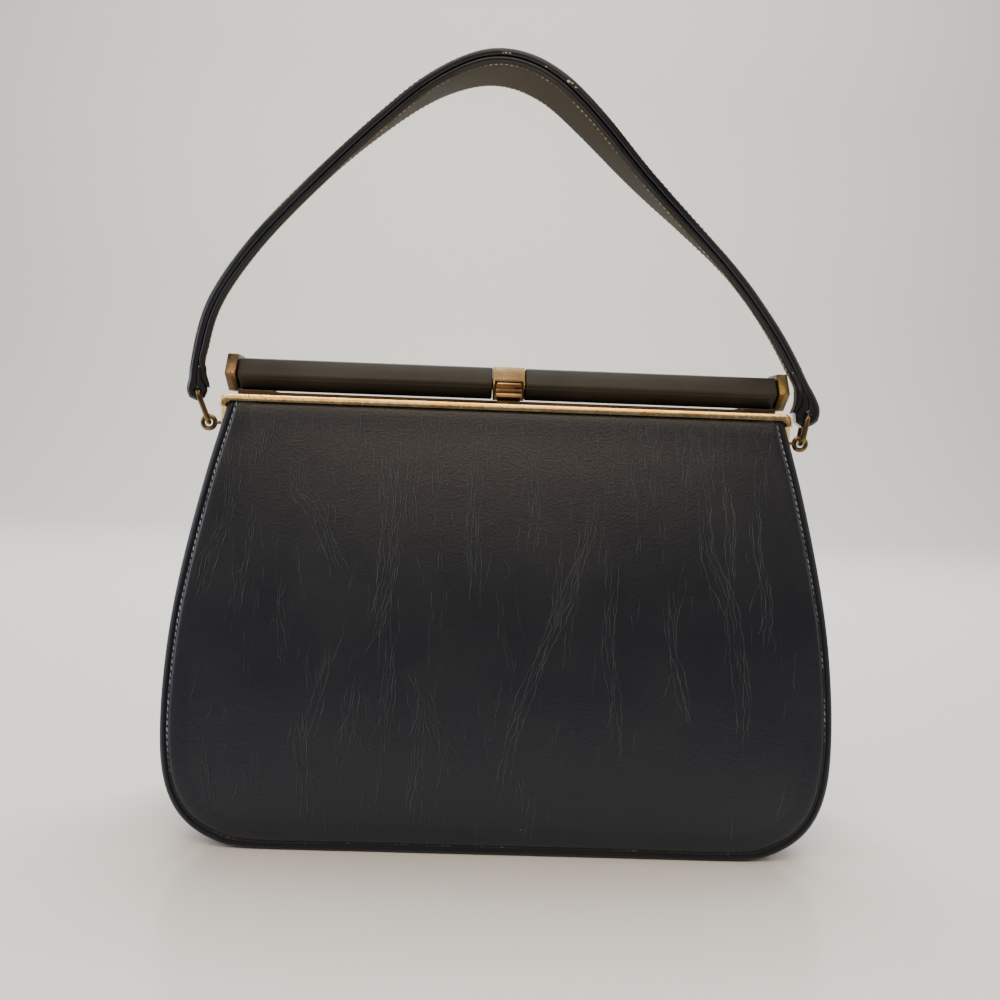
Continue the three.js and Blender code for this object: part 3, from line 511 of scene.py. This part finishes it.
stage = {
    "floor": 4.0, "wall": 1.6, "sweep": 0.5, "sweepSteps": 12, "pale": "e6e4e0",
    "roughFrom": (0.2, 0.2), "roughTo": (1.0, 0.8),  # depth and roughness where the table turns matt
    "sky": "c6d5f0", "skyPower": 0.22,
    "lights": [  # name, place, aimed at, width, height, power, colour
        ("keySoftbox", (-0.15, -1.0, 1.35), (0, 0, 0.1), 1.6, 0.7, 18, "ffe2ba"),
        ("topSoftbox", (0.1, 0.5, 1.5), (0, 0, 0.1), 1.3, 0.8, 36, "fbfaf8"),
        ("leftSoftbox", (-1.2, -0.35, 0.5), (0, 0, 0.15), 0.5, 0.8, 8, "f4f5f8"),
        ("rightSoftbox", (1.2, -0.35, 0.5), (0, 0, 0.15), 0.5, 0.8, 3.5, "fff2dc"),
        ("backdropSoftbox", (0, 0.9, 1.5), (0, 2.0, 0.5), 2.4, 0.5, 26, "fffaf2"),
    ],
}


def makeTable():
    bpy.ops.mesh.primitive_plane_add(size=stage["floor"])
    floor = bpy.context.object
    floor.name = "table"
    bpy.ops.object.mode_set(mode="EDIT")
    bpy.ops.mesh.select_all(action="DESELECT")
    bpy.ops.object.mode_set(mode="OBJECT")
    for edge in floor.data.edges:
        edge.select = all(floor.data.vertices[i].co.y > 0 for i in edge.vertices)
    bpy.ops.object.mode_set(mode="EDIT")
    bpy.ops.mesh.select_mode(type="EDGE")
    bpy.ops.mesh.extrude_region_move(TRANSFORM_OT_translate={"value": (0, 0, stage["wall"])})
    bpy.ops.object.mode_set(mode="OBJECT")
    for edge in floor.data.edges:
        ends = [floor.data.vertices[i].co for i in edge.vertices]
        edge.select = all(end.y > 0 and end.z < stage["wall"] / 2 for end in ends)
    bpy.ops.object.mode_set(mode="EDIT")
    bpy.ops.mesh.bevel(offset=stage["sweep"], segments=stage["sweepSteps"], affect="EDGES")
    bpy.ops.object.mode_set(mode="OBJECT")
    bpy.ops.object.shade_smooth()
    # Painted board, glossy on the table and matt on the backdrop
    material, tree, place = newMaterial("paleTableTop")
    depth = addNode(tree, "ShaderNodeSeparateXYZ", {0: place}).outputs["Y"]
    (glossyAt, glossy), (mattAt, matt) = stage["roughFrom"], stage["roughTo"]
    rough = addNode(
        tree, "ShaderNodeMapRange", {0: depth, 1: glossyAt, 2: mattAt, 3: glossy, 4: matt},
    ).outputs[0]
    shader = addNode(
        tree, "ShaderNodeBsdfPrincipled", {"Base Color": toLinear(stage["pale"]), "Roughness": rough},
    )
    addNode(tree, "ShaderNodeOutputMaterial", {"Surface": shader.outputs[0]})
    floor.data.materials.append(material)


def setLights():
    world = bpy.data.worlds.new("studio")
    world.use_nodes = True
    backdrop = world.node_tree.nodes["Background"]
    backdrop.inputs["Color"].default_value = toLinear(stage["sky"])
    backdrop.inputs["Strength"].default_value = stage["skyPower"]
    bpy.context.scene.world = world
    for name, place, target, wide, tall, power, hexText in stage["lights"]:
        bpy.ops.object.light_add(type="AREA", location=place)
        lamp = bpy.context.object
        lamp.name = name
        lamp.data.shape = "RECTANGLE"
        lamp.data.size = wide
        lamp.data.size_y = tall
        lamp.data.energy = power
        lamp.data.color = toLinear(hexText)[:3]
        lamp.visible_camera = False
        aim = Vector(target) - Vector(place)
        lamp.rotation_euler = aim.to_track_quat("-Z", "Y").to_euler()


makeTable()
setLights()
print("stage done")


# Leather panels, with the seam that joins each to the gusset

panel = {
    "outline": [  # half width and height of the panel's edge, mm
        (0, 0), (45, 0), (90, 0), (105, 3.6), (115.2, 10.8), (121.4, 21.6), (124.3, 36), (125, 54),
        (123.7, 80), (121, 100), (117.5, 120), (113.5, 140), (110.4, 153), (107.3, 165.4),
    ],
    "outlineSteps": 24, "levels": 2,
    "seamInset": 3.3, "stitchPitch": 2.45, "stitchLong": 1.9, "stitchThick": 0.5, "stitchLean": 7,
    "stitchSides": 8, "stitchRings": 6,
    "seamTop": 163.4, "rollTop": 164.1, "rollStep": 1.5, "shadedGrooveFrom": -0.7, "shadedGrooveTo": 0.25,
    "rolls": [  # each roll's cross-section: distance inwards from the seam and height over the leather, mm
        [(-2.5, -0.1), (-2.1, 0.2), (-1.5, 0.34), (-0.9, 0.26), (-0.4, -0.1)],
        [(0.05, -0.1), (0.25, 0.1), (0.75, 0.42), (1.3, 0.5), (2.4, 0.43), (4, 0.27), (6, 0.1), (8, -0.04)],
    ],
}


def smoothPath(rows, steps):  # curve through the rows
    points = []
    for i in range(len(rows) - 1):
        a, b, c, d = (Vector(rows[min(max(k, 0), len(rows) - 1)]) for k in (i - 1, i, i + 1, i + 2))
        for k in range(steps):
            t = k / steps
            points.append(0.5 * (2 * b + (c - a) * t + (2 * a - 5 * b + 4 * c - d) * t ** 2
                                 + (3 * b - a - 3 * c + d) * t ** 3))
    points.append(Vector(rows[-1]))
    return points


def evenly(points, pitch):  # points at equal distances along a line of points
    out, carried = [points[0]], 0.0
    for a, b in zip(points, points[1:]):
        length = (b - a).length
        while carried + length >= pitch:
            a = a.lerp(b, (pitch - carried) / length)
            out.append(a)
            length = (b - a).length
            carried = 0.0
        carried += length
    return out


def alongLine(points, i):  # the way a line of points runs at one of them
    return points[min(i + 1, len(points) - 1)] - points[max(i - 1, 0)]


def leftOf(ahead):  # the flat direction square to another
    return Vector((-ahead.y, ahead.x)).normalized()


def seamLine(pitch):  # marks on the seam from the top left round the base to the top right, as (x, z)
    half = smoothPath(panel["outline"], panel["outlineSteps"])
    whole = [Vector((-p.x, p.y)) for p in reversed(half[1:])] + half
    line = [point + leftOf(alongLine(whole, i)) * panel["seamInset"] for i, point in enumerate(whole)]
    return evenly([p for p in line if p.y < panel["seamTop"]], pitch)


def makeStitch():  # one lens-shaped stitch, lying along X
    bpy.ops.mesh.primitive_uv_sphere_add(
        segments=panel["stitchSides"], ring_count=panel["stitchRings"], radius=0.5,
    )
    stitch = bpy.context.object
    stitch.name = "stitch"
    thin = panel["stitchThick"] / panel["stitchLong"]
    bpy.ops.object.mode_set(mode="EDIT")
    bpy.ops.mesh.select_all(action="SELECT")
    bpy.ops.transform.rotate(value=math.radians(90), orient_axis="Y", center_override=(0, 0, 0))
    bpy.ops.transform.resize(value=(1, thin, thin))
    bpy.ops.transform.resize(value=(panel["stitchLong"] * mm,) * 3)
    bpy.ops.object.mode_set(mode="OBJECT")
    bpy.ops.object.shade_smooth()
    return stitch


def layStitches(pieceName, places):  # a place is a point, the seam's direction, the leather's normal and a size
    copies = []
    for point, along, normal, size in places:
        side = normal.cross(along).normalized()
        ahead = side.cross(normal).normalized()
        turn = Matrix((ahead, side, normal)).transposed().to_4x4()
        lean = Matrix.Rotation(math.radians(panel["stitchLean"]), 4, "Z")
        copy = stitchShape.copy()
        copy.data = stitchShape.data.copy()
        copy.data.transform(Matrix.Translation(point) @ turn @ lean @ Matrix.Diagonal((*size, 1)))
        bpy.context.scene.collection.objects.link(copy)
        copies.append(copy)
    pickOnly(*copies)
    bpy.ops.object.join()
    row = bpy.context.object
    row.name = pieceName
    return row


def seamPlaces(leather, side):  # where the stitches of a panel's seam go, on its outer face
    tree = rayTree(leather)
    hits = [castAt(tree, mark.x, mark.y, side)[:2] for mark in seamLine(panel["stitchPitch"])]
    points = [point for point, normal in hits]
    return [
        (point, alongLine(points, i).normalized(), normal, (1, 1, 1))
        for i, (point, normal) in enumerate(hits)
    ]


def makeRolls(pieceName, leather, side):  # padded leather on both sides of the seam, with a groove between
    tree = rayTree(leather)
    seam = seamLine(panel["rollStep"])
    points, faces, finish = [], [], []  # finish 0 is the panel's, 1 the groove's and the ends', painted near black as shade, 2 the outer edge's
    for section in panel["rolls"]:
        size, start = len(section), len(points)
        for i, mark in enumerate(seam):
            ahead = alongLine(seam, i)
            inward = leftOf(ahead)
            for reach, height in section:
                spot = mark + inward * reach
                if i in (0, len(seam) - 1):  # both ends run up to the rail
                    spot += ahead * (panel["rollTop"] - spot.y) / ahead.y
                point, normal, _, _ = castAt(tree, spot.x, spot.y, side)
                points.append(point + normal * height * mm)
            if i:
                b = len(points) - size
                a = b - size
                for k in range(size):
                    n = (k + 1) % size
                    faces.append((a + k, a + n, b + n, b + k))
                    middle = (section[k][0] + section[n][0]) / 2
                    inShadedGroove = panel["shadedGrooveFrom"] < middle < panel["shadedGrooveTo"]
                    finish.append(1 if inShadedGroove else 2 if middle < 0 else 0)
        # the end faces take the painted shade too
        faces += [tuple(range(start, start + size)), tuple(range(len(points) - size, len(points)))]
        finish += [1, 1]
    rolls = meshPiece(pieceName, points, faces, finish)
    bpy.ops.object.shade_smooth_by_angle(angle=math.radians(limits["leatherSmooth"]))
    return rolls


# Wear creases: fine lines that run side by side in bundles, mostly up and down, with pleats under the rail

creases = {
    "bundles": [  # lines, distance between them, and the way they run as (x, z), mm
        (6, 1.5, [(-105, 155), (-104, 127), (-111, 102), (-117, 80)]),
        (3, 1.4, [(-96, 130), (-95, 112), (-98, 92), (-97, 74)]),
        (3, 1.5, [(-83, 100), (-82, 84), (-79, 70)]),
        (5, 1.5, [(-91, 163), (-91, 150), (-95, 135)]),
        (6, 1.6, [(-80, 149), (-78, 132), (-73, 126), (-63, 106), (-58, 94)]),
        (4, 1.6, [(-59, 165), (-57, 157), (-59, 139)]),
        (8, 1.5, [(-45, 163), (-44, 140), (-43, 112), (-44, 96), (-47, 70)]),
        (4, 1.8, [(-35, 161), (-35, 140), (-36, 112)]),
        (3, 1.6, [(-26, 160), (-26, 129)]),
        (5, 1.7, [(-10, 158), (-12, 137), (-12, 113), (-10, 86)]),
        (4, 1.8, [(5, 157), (11, 131), (9, 108)]),
        (5, 1.5, [(35, 143), (31, 120), (25, 98), (16, 76), (7, 52), (-1, 13)]),
        (3, 1.8, [(21, 109), (20, 80)]),
        (4, 1.7, [(42, 115), (40, 95), (40, 77), (42, 59), (45, 26)]),
        (4, 1.6, [(51, 163), (48, 143), (51, 125)]),
        (4, 1.6, [(62, 101), (64, 77), (69, 57), (72, 45)]),
        (3, 1.5, [(71, 163), (74, 144)]),
        (6, 1.6, [(74, 139), (78, 112), (85, 94), (89, 76), (92, 38)]),
        (4, 1.6, [(85, 145), (86, 116), (87, 94)]),
        (4, 1.7, [(94, 145), (96, 117), (100, 89), (98, 63)]),
        (4, 1.6, [(-108, 38), (-106, 25), (-103, 11)]),
        (4, 1.6, [(-91, 32), (-93, 24), (-96, 14)]),
        (5, 1.7, [(-74, 55), (-72, 37), (-69, 9)]),
        (5, 1.6, [(-63, 77), (-67, 55), (-72, 33)]),
        (6, 1.5, [(-54, 64), (-55, 50), (-55, 36)]),
        (5, 1.6, [(-41, 86), (-41, 60), (-42, 33)]),
        (5, 1.7, [(-30, 60), (-21, 42), (-13, 24)]),
        (5, 1.4, [(-34, 71), (-29, 49), (-31, 24), (-33, 6)]),
    ],
    "pathSteps": 12, "step": 1.0, "close": 0.72, "jitter": 0.35, "bundleSize": (0.65, 1.05),
    "branches": 0.4, "branchFrom": 12, "branchFirst": 2, "branchLast": 4,  # counted in a line's steps
    "branchLean": (0.2, 0.45), "branchLong": (7, 15), "branchSize": 0.85,
    "pleats": 130, "pleatHalf": 104, "pleatTop": 163.4, "pleatLong": (8, 42),
    "strays": 230, "strayHalf": 112, "strayHigh": (12, 158), "strayLong": (7, 26),
    "edgeAt": (122, 0.13),  # strays stay inside this half width, less a share of the height
    "calm": (20, 60, 0.7),  # right of here and below here, this share of the strays is left out
    "looseLean": 0.22, "looseSize": (0.5, 0.8),  # of pleats and strays
    "starts": (0, 0.2), "ends": (0.8, 1.0),  # shares of the path where a line may start and end
    "waves": [((22, 40), 0.55), ((6, 11), 0.2), ((3, 4.5), 0.13)],  # lengths and reach of a line's waves, mm
    "fade": (8, 16), "fadeMiddle": 0.8, "fadeReach": 0.25, "fullTurn": 6.28,
    "tipRise": 3, "tipStart": 0.3, "tipRound": 0.6,  # how a line swells from its tips
    "wide": 0.27, "tall": 0.16, "sunk": 0.07, "skew": 0.35, "fewest": 4,
}


def creaseLine(rng, path, offset, size):  # one wavy line beside a path, as (x, z, size)
    marks = evenly(path, creases["step"])
    first = int(len(marks) * rng.uniform(*creases["starts"]))
    last = int(len(marks) * rng.uniform(*creases["ends"]))
    fullTurn = creases["fullTurn"]
    waves = [
        (rng.uniform(*lengths), rng.uniform(0, fullTurn), reach) for lengths, reach in creases["waves"]
    ]
    fade, phase = rng.uniform(*creases["fade"]), rng.uniform(0, fullTurn)
    line = []
    for i in range(first, last):
        run = i * creases["step"]
        sway = sum(reach * math.sin(fullTurn * run / length + turn) for length, turn, reach in waves)
        point = marks[i] + leftOf(alongLine(marks, i)) * (offset + sway)
        share = (i - first + creases["tipStart"]) / (last - first)
        swell = min(1.0, creases["tipRise"] * math.sin(math.pi * share)) ** creases["tipRound"]
        pulse = creases["fadeMiddle"] + creases["fadeReach"] * math.sin(fullTurn * run / fade + phase)
        line.append((point.x, point.y, size * swell * pulse))
    return line


def looseLine(rng, x, z, lean, reach, size):  # a straight run downwards from one point
    return creaseLine(rng, [Vector((x, z)), Vector((x + lean * reach, z - reach))], 0, size)


def creaseLines(seed, hand):  # all lines of one panel; hand -1 turns the table left for right
    rng = random.Random(seed)
    lines = []
    for count, apart, rows in creases["bundles"]:
        path = smoothPath([(hand * x, z) for x, z in rows], creases["pathSteps"])
        for k in range(count):
            jitter = rng.uniform(-creases["jitter"], creases["jitter"])
            offset = (k - (count - 1) / 2) * apart * creases["close"] + jitter
            line = creaseLine(rng, path, offset, rng.uniform(*creases["bundleSize"]))
            lines.append(line)
            if len(line) > creases["branchFrom"] and rng.random() < creases["branches"]:
                x, z, _ = line[rng.randrange(creases["branchFirst"], len(line) - creases["branchLast"])]
                lean = rng.choice((-1, 1)) * rng.uniform(*creases["branchLean"])
                reach = rng.uniform(*creases["branchLong"])
                lines.append(looseLine(rng, x, z, lean, reach, creases["branchSize"]))
    starts = []
    for _ in range(creases["pleats"]):
        x = rng.uniform(-creases["pleatHalf"], creases["pleatHalf"])
        starts.append((x, creases["pleatTop"], creases["pleatLong"]))
    half, narrowing = creases["edgeAt"]
    calmRight, calmTop, calmShare = creases["calm"]
    for _ in range(creases["strays"]):
        x = rng.uniform(-creases["strayHalf"], creases["strayHalf"])
        z = rng.uniform(*creases["strayHigh"])
        inside = abs(x) < half - narrowing * z
        if inside and not (hand * x > calmRight and z < calmTop and rng.random() < calmShare):
            starts.append((x, z, creases["strayLong"]))
    for x, z, lengths in starts:
        reach = rng.uniform(*lengths)
        lean = rng.uniform(-creases["looseLean"], creases["looseLean"])
        lines.append(looseLine(rng, x, z, lean, reach, rng.uniform(*creases["looseSize"])))
    return lines


def makeCreases(pieceName, grounds, side, lines):  # low ridges with their feet in the outermost ground
    trees = [rayTree(ground) for ground in grounds]
    points, faces, finish = [], [], []  # finish 0 is the lit flank's, painted lighter as a highlight; 1 is the shaded flank's and the tips', painted dark as shade
    for line in lines:
        spots = []
        for x, z, size in line:
            hits = [hit for hit in (castAt(tree, x, z, side) for tree in trees) if hit[0]]
            if hits:
                point, normal, _, _ = min(hits, key=lambda hit: hit[3])
                spots.append((point, normal, size))
        if len(spots) < creases["fewest"]:
            continue
        start = len(points)
        middles = [point for point, normal, size in spots]
        for i, (point, normal, size) in enumerate(spots):
            across = normal.cross(alongLine(middles, i)).normalized() * creases["wide"] * size * mm
            foot = point - normal * creases["sunk"] * mm
            crest = point + across * creases["skew"] + normal * creases["tall"] * size * mm
            points += [foot - across, crest, foot + across]
            if i:
                b = len(points) - 3
                a = b - 3
                faces += [(a, a + 1, b + 1, b), (a + 1, a + 2, b + 2, b + 1), (a + 2, a, b, b + 2)]
                finish += [0, 1, 1]
        faces += [(start, start + 2, start + 1), (len(points) - 3, len(points) - 2, len(points) - 1)]
        finish += [1, 1]
    ridges = meshPiece(pieceName, points, faces, finish)
    bpy.ops.object.shade_smooth()
    return ridges


stitchShape = makeStitch()
frontLeather = softCopy("front_panel", "front_leather", panel["levels"])
backLeather = softCopy("back_panel", "back_leather", panel["levels"])
seat(frontLeather, panelLeather, "purse", "black_leather", "front_panel")
seat(backLeather, panelLeather, "purse", "black_leather", "back_panel")
for leather, side, word, seed in ((frontLeather, -1, "front", 4), (backLeather, 1, "back", 9)):
    row = layStitches(word + "_seam_stitches", seamPlaces(leather, side))
    seat(row, seamThread, "purse", "black_leather")
    rolls = seat(makeRolls(word + "_seam_rolls", leather, side), panelLeather, "purse", "black_leather")
    rolls.data.materials.append(paintedShadeLeather)
    rolls.data.materials.append(edgeLeather)
    ridges = makeCreases(word + "_wear_creases", (leather, rolls), side, creaseLines(seed, -side))
    seat(ridges, paintedLightCreaseLeather, "purse", "black_leather")
    ridges.data.materials.append(paintedShadeLeather)
print("panels done")

gusset = {"levels": 2, "fill": 0.45}  # fill closes the seams against both panels, mm
gussetLeather = softCopy("gusset", "gusset_leather", gusset["levels"])
fatten(gussetLeather, gusset["fill"])
for vertex in gussetLeather.data.vertices:  # its base lies flat on the table
    vertex.co.z = max(vertex.co.z, 0.0)
seat(gussetLeather, panelLeather, "purse", "black_leather", "gusset")
print("gusset done")


# Brass frame: rails with a rounded, slightly leaning face

rail = {
    "face": 13.2, "lip": 0.9, "half": 110.5, "top": 167, "low": 164.4, "corner": 3, "near": 0.05,
    "crown": 0.8, "crownSteps": 5, "lowRound": 0.5, "lowSteps": 3, "edge": 0.1, "edgeSteps": 2,
    "lean": math.tan(math.radians(15)), "web": 167.15,
}


def onFace(point):  # on the rail's outer face
    return abs(point.y) > rail["face"] - rail["near"]


def onCrown(point):  # on the outer border of the rail's face
    across = abs(point.x) - rail["half"] + rail["corner"]
    bend = math.hypot(across, point.z - rail["top"] + rail["corner"])
    atTop = point.z > rail["top"] - rail["near"]
    atEnd = abs(point.x) > rail["half"] - rail["near"]
    return onFace(point) and (atTop or atEnd or abs(bend - rail["corner"]) < rail["near"])


def onLowEdge(point):  # on the lower border of the rail's face
    return onFace(point) and abs(point.z - rail["low"]) < rail["near"]


for nodeName, pieceName in (("front_frame", "front_rail"), ("back_frame", "back_rail")):
    piece = flatCopy(nodeName, pieceName)
    roundEdges(piece, rail["crown"], rail["crownSteps"], onCrown)
    roundEdges(piece, rail["lowRound"], rail["lowSteps"], onLowEdge)
    for vertex in piece.data.vertices:
        depth = max(0.0, abs(vertex.co.y) / mm - rail["face"] + rail["lip"]) / rail["lip"]
        shift = depth * rail["lean"] * max(0.0, vertex.co.z / mm - rail["low"])
        vertex.co.y -= math.copysign(shift * mm, vertex.co.y)
    roundSharp(piece, rail["edge"], rail["edgeSteps"], limits["railSharp"], False)
    seat(piece, polishedBrass, "purse", "brass", nodeName)
    piece.data.materials.append(tarnishedBrass)
    for polygon in piece.data.polygons:  # the web and the feet under the bar are dull
        polygon.material_index = 1 if polygon.center.z > rail["web"] * mm else 0


# Bar, clasp, eyes and links; the covers have a raised line where the leather's edge is turned under

bar = {
    "ridge": (10.5, 174.7), "low": (3, 169.2), "inner": 6.6, "outer": 104.8,
    "weltDown": 2.3, "welt": 0.5, "weltSides": 10, "sunk": 0.25, "edge": 0.7, "edgeSteps": 4,
}
fittings = {
    "rounded": [  # CAD node, piece, metal, body, rounding of its edges in mm
        ("bar_core", "clasp_bridge", satinBrass, "purse", 0.2),
        ("end_cap_left", "left_cap", tarnishedBrass, "purse", 0.35),
        ("end_cap_right", "right_cap", agedBrass, "purse", 0.35),
        ("hinge_eye_left", "left_eye", antiqueBrass, "purse", 0.1),
        ("hinge_eye_right", "right_eye", antiqueBrass, "purse", 0.1),
        ("clasp_tongue", "clasp_lever", brownBrass, "clasp", 0.25),
    ],
    "edgeSteps": 2, "linkLevels": 2, "linkFill": 0.2,
}


def makeWelt(pieceName, hand):  # rounded line along the front and back lower faces of one cover
    ridge, low = Vector(bar["ridge"]), Vector(bar["low"])
    down = (low - ridge).normalized()
    outward = leftOf(down)
    spot = ridge + down * bar["weltDown"] - outward * bar["sunk"]
    halves = []
    for side in (-1, 1):
        length = bar["outer"] - bar["inner"]
        bpy.ops.mesh.primitive_cylinder_add(
            vertices=bar["weltSides"], radius=bar["welt"] * mm, depth=length * mm,
        )
        half = bpy.context.object
        turn = Matrix.Rotation(math.radians(90), 4, "Y")
        place = Vector((hand * (bar["inner"] + length / 2), side * spot.x, spot.y)) * mm
        half.data.transform(Matrix.Translation(place) @ turn)
        half.location = (0, 0, 0)
        halves.append(half)
    pickOnly(*halves)
    bpy.ops.object.join()
    welt = bpy.context.object
    welt.name = pieceName
    bpy.ops.object.shade_smooth_by_angle(angle=math.radians(limits["leatherSmooth"]))
    return welt


for nodeName, pieceName, metal, body, edge in fittings["rounded"]:
    seat(hardCopy(nodeName, pieceName, edge, fittings["edgeSteps"]), metal, body, "brass", nodeName)
for word, hand in (("left", -1), ("right", 1)):
    nodeName = "bar_cover_" + word
    cover = hardCopy(nodeName, word + "_bar_leather", bar["edge"], bar["edgeSteps"])
    seat(cover, barLeather, "purse", "black_leather", nodeName)
    seat(makeWelt(word + "_bar_welt", hand), barLeather, "purse", "black_leather")
for nodeName, pieceName in (("link_left", "left_wire_link"), ("link_right", "right_wire_link")):
    link = softCopy(nodeName, pieceName, fittings["linkLevels"])
    fatten(link, fittings["linkFill"])
    seat(link, antiqueBrass, "purse", "brass", nodeName)
print("metal done")


# Handle: two layers of strap, sewn along both edges

handle = {
    "line": [  # middle line of the two layers as (x, z), mm
        (-121, 179), (-116.8, 199.2), (-102.2, 222.6), (-76.8, 250.4), (-51, 275), (-31.2, 290.8),
        (-9.5, 299.3), (10.4, 294.6), (29.1, 279.3), (48.5, 258.1), (67.7, 239.2), (87.6, 219.4),
        (107.4, 193.6), (115.6, 179),
    ],
    "lie": [  # share of the length, width in mm, roll in degrees
        (0, 10.4, 13), (0.12, 11.5, 14.5), (0.24, 14.5, 15), (0.34, 19, 9), (0.42, 23, 3), (0.5, 27, -2),
        (0.62, 25, -4), (0.72, 20.5, 2), (0.8, 16, 9), (0.88, 12, 15), (1, 10.4, 9),
    ],
    "lineSteps": 30, "levels": 2, "press": 0.14, "edge": 0.05, "endTop": 178,
    "seamInset": 1.9, "stitchPitch": 2.3, "stitchSize": (0.66, 1, 1), "stitchSkip": 2, "reach": 9,
    "heart": (-10, 190), "handFace": 0.6, "tuck": 0.55, "tuckTop": 187, "tuckLow": 179,
    "chips": [  # where the coating has flaked off the front edge as (x, z), and each flake's length and width
        (18.3, 289.9, 1.4, 0.9), (19.7, 289.3, 0.8, 0.6), (21.1, 287.8, 1.1, 0.4), (9.5, 294.9, 0.6, 0.5),
        (-5.9, 299.4, 0.9, 0.5), (-4.4, 299.3, 0.8, 0.4), (-7.0, 299.3, 0.5, 0.3), (-11.5, 297.8, 0.4, 0.3),
    ],
    "chipThick": 0.12, "chipAlong": (1, 0, -0.5),
}


def lieAt(share):  # width and roll of the strap at a share of its length
    for (a, wideA, rollA), (b, wideB, rollB) in zip(handle["lie"], handle["lie"][1:]):
        if share <= b:
            t = (share - a) / (b - a)
            return wideA + (wideB - wideA) * t, math.radians(rollA + (rollB - rollA) * t)


def facesHand(polygon):  # on the hand's side of the handle, away from the edges
    inward = Vector((handle["heart"][0], 0, handle["heart"][1])) * mm - polygon.center
    inward.y = 0
    return polygon.normal.dot(inward.normalized()) > handle["handFace"]


def tuckEnds(strap):  # presses the ends of the hand's layer against the tails of the outer one
    for vertex in strap.data.vertices:
        share = (handle["tuckTop"] - vertex.co.z / mm) / (handle["tuckTop"] - handle["tuckLow"])
        share = min(max(share, 0.0), 1.0)
        vertex.co.x += math.copysign(handle["tuck"] * share * share * (3 - 2 * share) * mm, vertex.co.x)


def strapPlaces(leather, face):  # stitches along both edges; face 1 is the outer side, -1 the hand's side
    tree = rayTree(leather)
    marks = evenly(smoothPath(handle["line"], handle["lineSteps"]), handle["stitchPitch"])
    rows = ([], [])
    for i in range(handle["stitchSkip"], len(marks) - handle["stitchSkip"]):
        wide, roll = lieAt(i / (len(marks) - 1))
        ahead = alongLine(marks, i).normalized()
        out = Vector((-ahead.y, 0, ahead.x))
        across = Vector((0, math.cos(roll), 0)) + out * math.sin(roll)
        rise = out * math.cos(roll) - Vector((0, math.sin(roll), 0))
        centre = Vector((marks[i].x, 0, marks[i].y)) + out * (wide / 2) * math.sin(roll)
        for row, sign in zip(rows, (-1, 1)):
            seam = centre + across * sign * (wide / 2 - handle["seamInset"])
            start = seam + rise * face * handle["reach"]
            point, normal, _, _ = tree.ray_cast(start * mm, -face * rise)
            if point:
                row.append((point, Vector((ahead.x, 0, ahead.y)), normal, handle["stitchSize"]))
    return rows[0] + rows[1]


def chipPlaces(leather):  # bare flakes on the strap's front edge
    tree = rayTree(leather)
    places = []
    for x, z, length, width in handle["chips"]:
        point, normal, _, _ = castAt(tree, x, z, -1)
        thick = handle["chipThick"] / panel["stitchThick"]
        size = (length / panel["stitchLong"], width / panel["stitchThick"], thick)
        if point:
            places.append((point, Vector(handle["chipAlong"]), normal, size))
    return places


for nodeName, pieceName, seamName, face in (
    ("handle_strap", "handle_top_strap", "top_strap_stitches", 1),
    ("handle_lining", "handle_under_strap", "under_strap_stitches", -1),
):
    strap = strapCopy(nodeName, pieceName, handle["edge"], handle["endTop"], handle["levels"])
    fatten(strap, handle["press"])
    seat(strap, strapLeather, "purse", "strap_leather", nodeName)
    if face > 0:
        flakes = layStitches("strap_bare_flakes", chipPlaces(strap))
        seat(flakes, bareLeather, "purse", "strap_leather")
    else:
        tuckEnds(strap)
        # the hand's side takes the lining leather, whose olive hue is painted reflection
        strap.data.materials.append(liningLeather)
        for polygon in strap.data.polygons:
            polygon.material_index = 1 if facesHand(polygon) else 0
    row = layStitches(seamName, strapPlaces(strap, face))
    seat(row, strapThread, "purse", "strap_leather")
print("handle done")

bpy.data.objects.remove(stitchShape)
print("all pieces done")
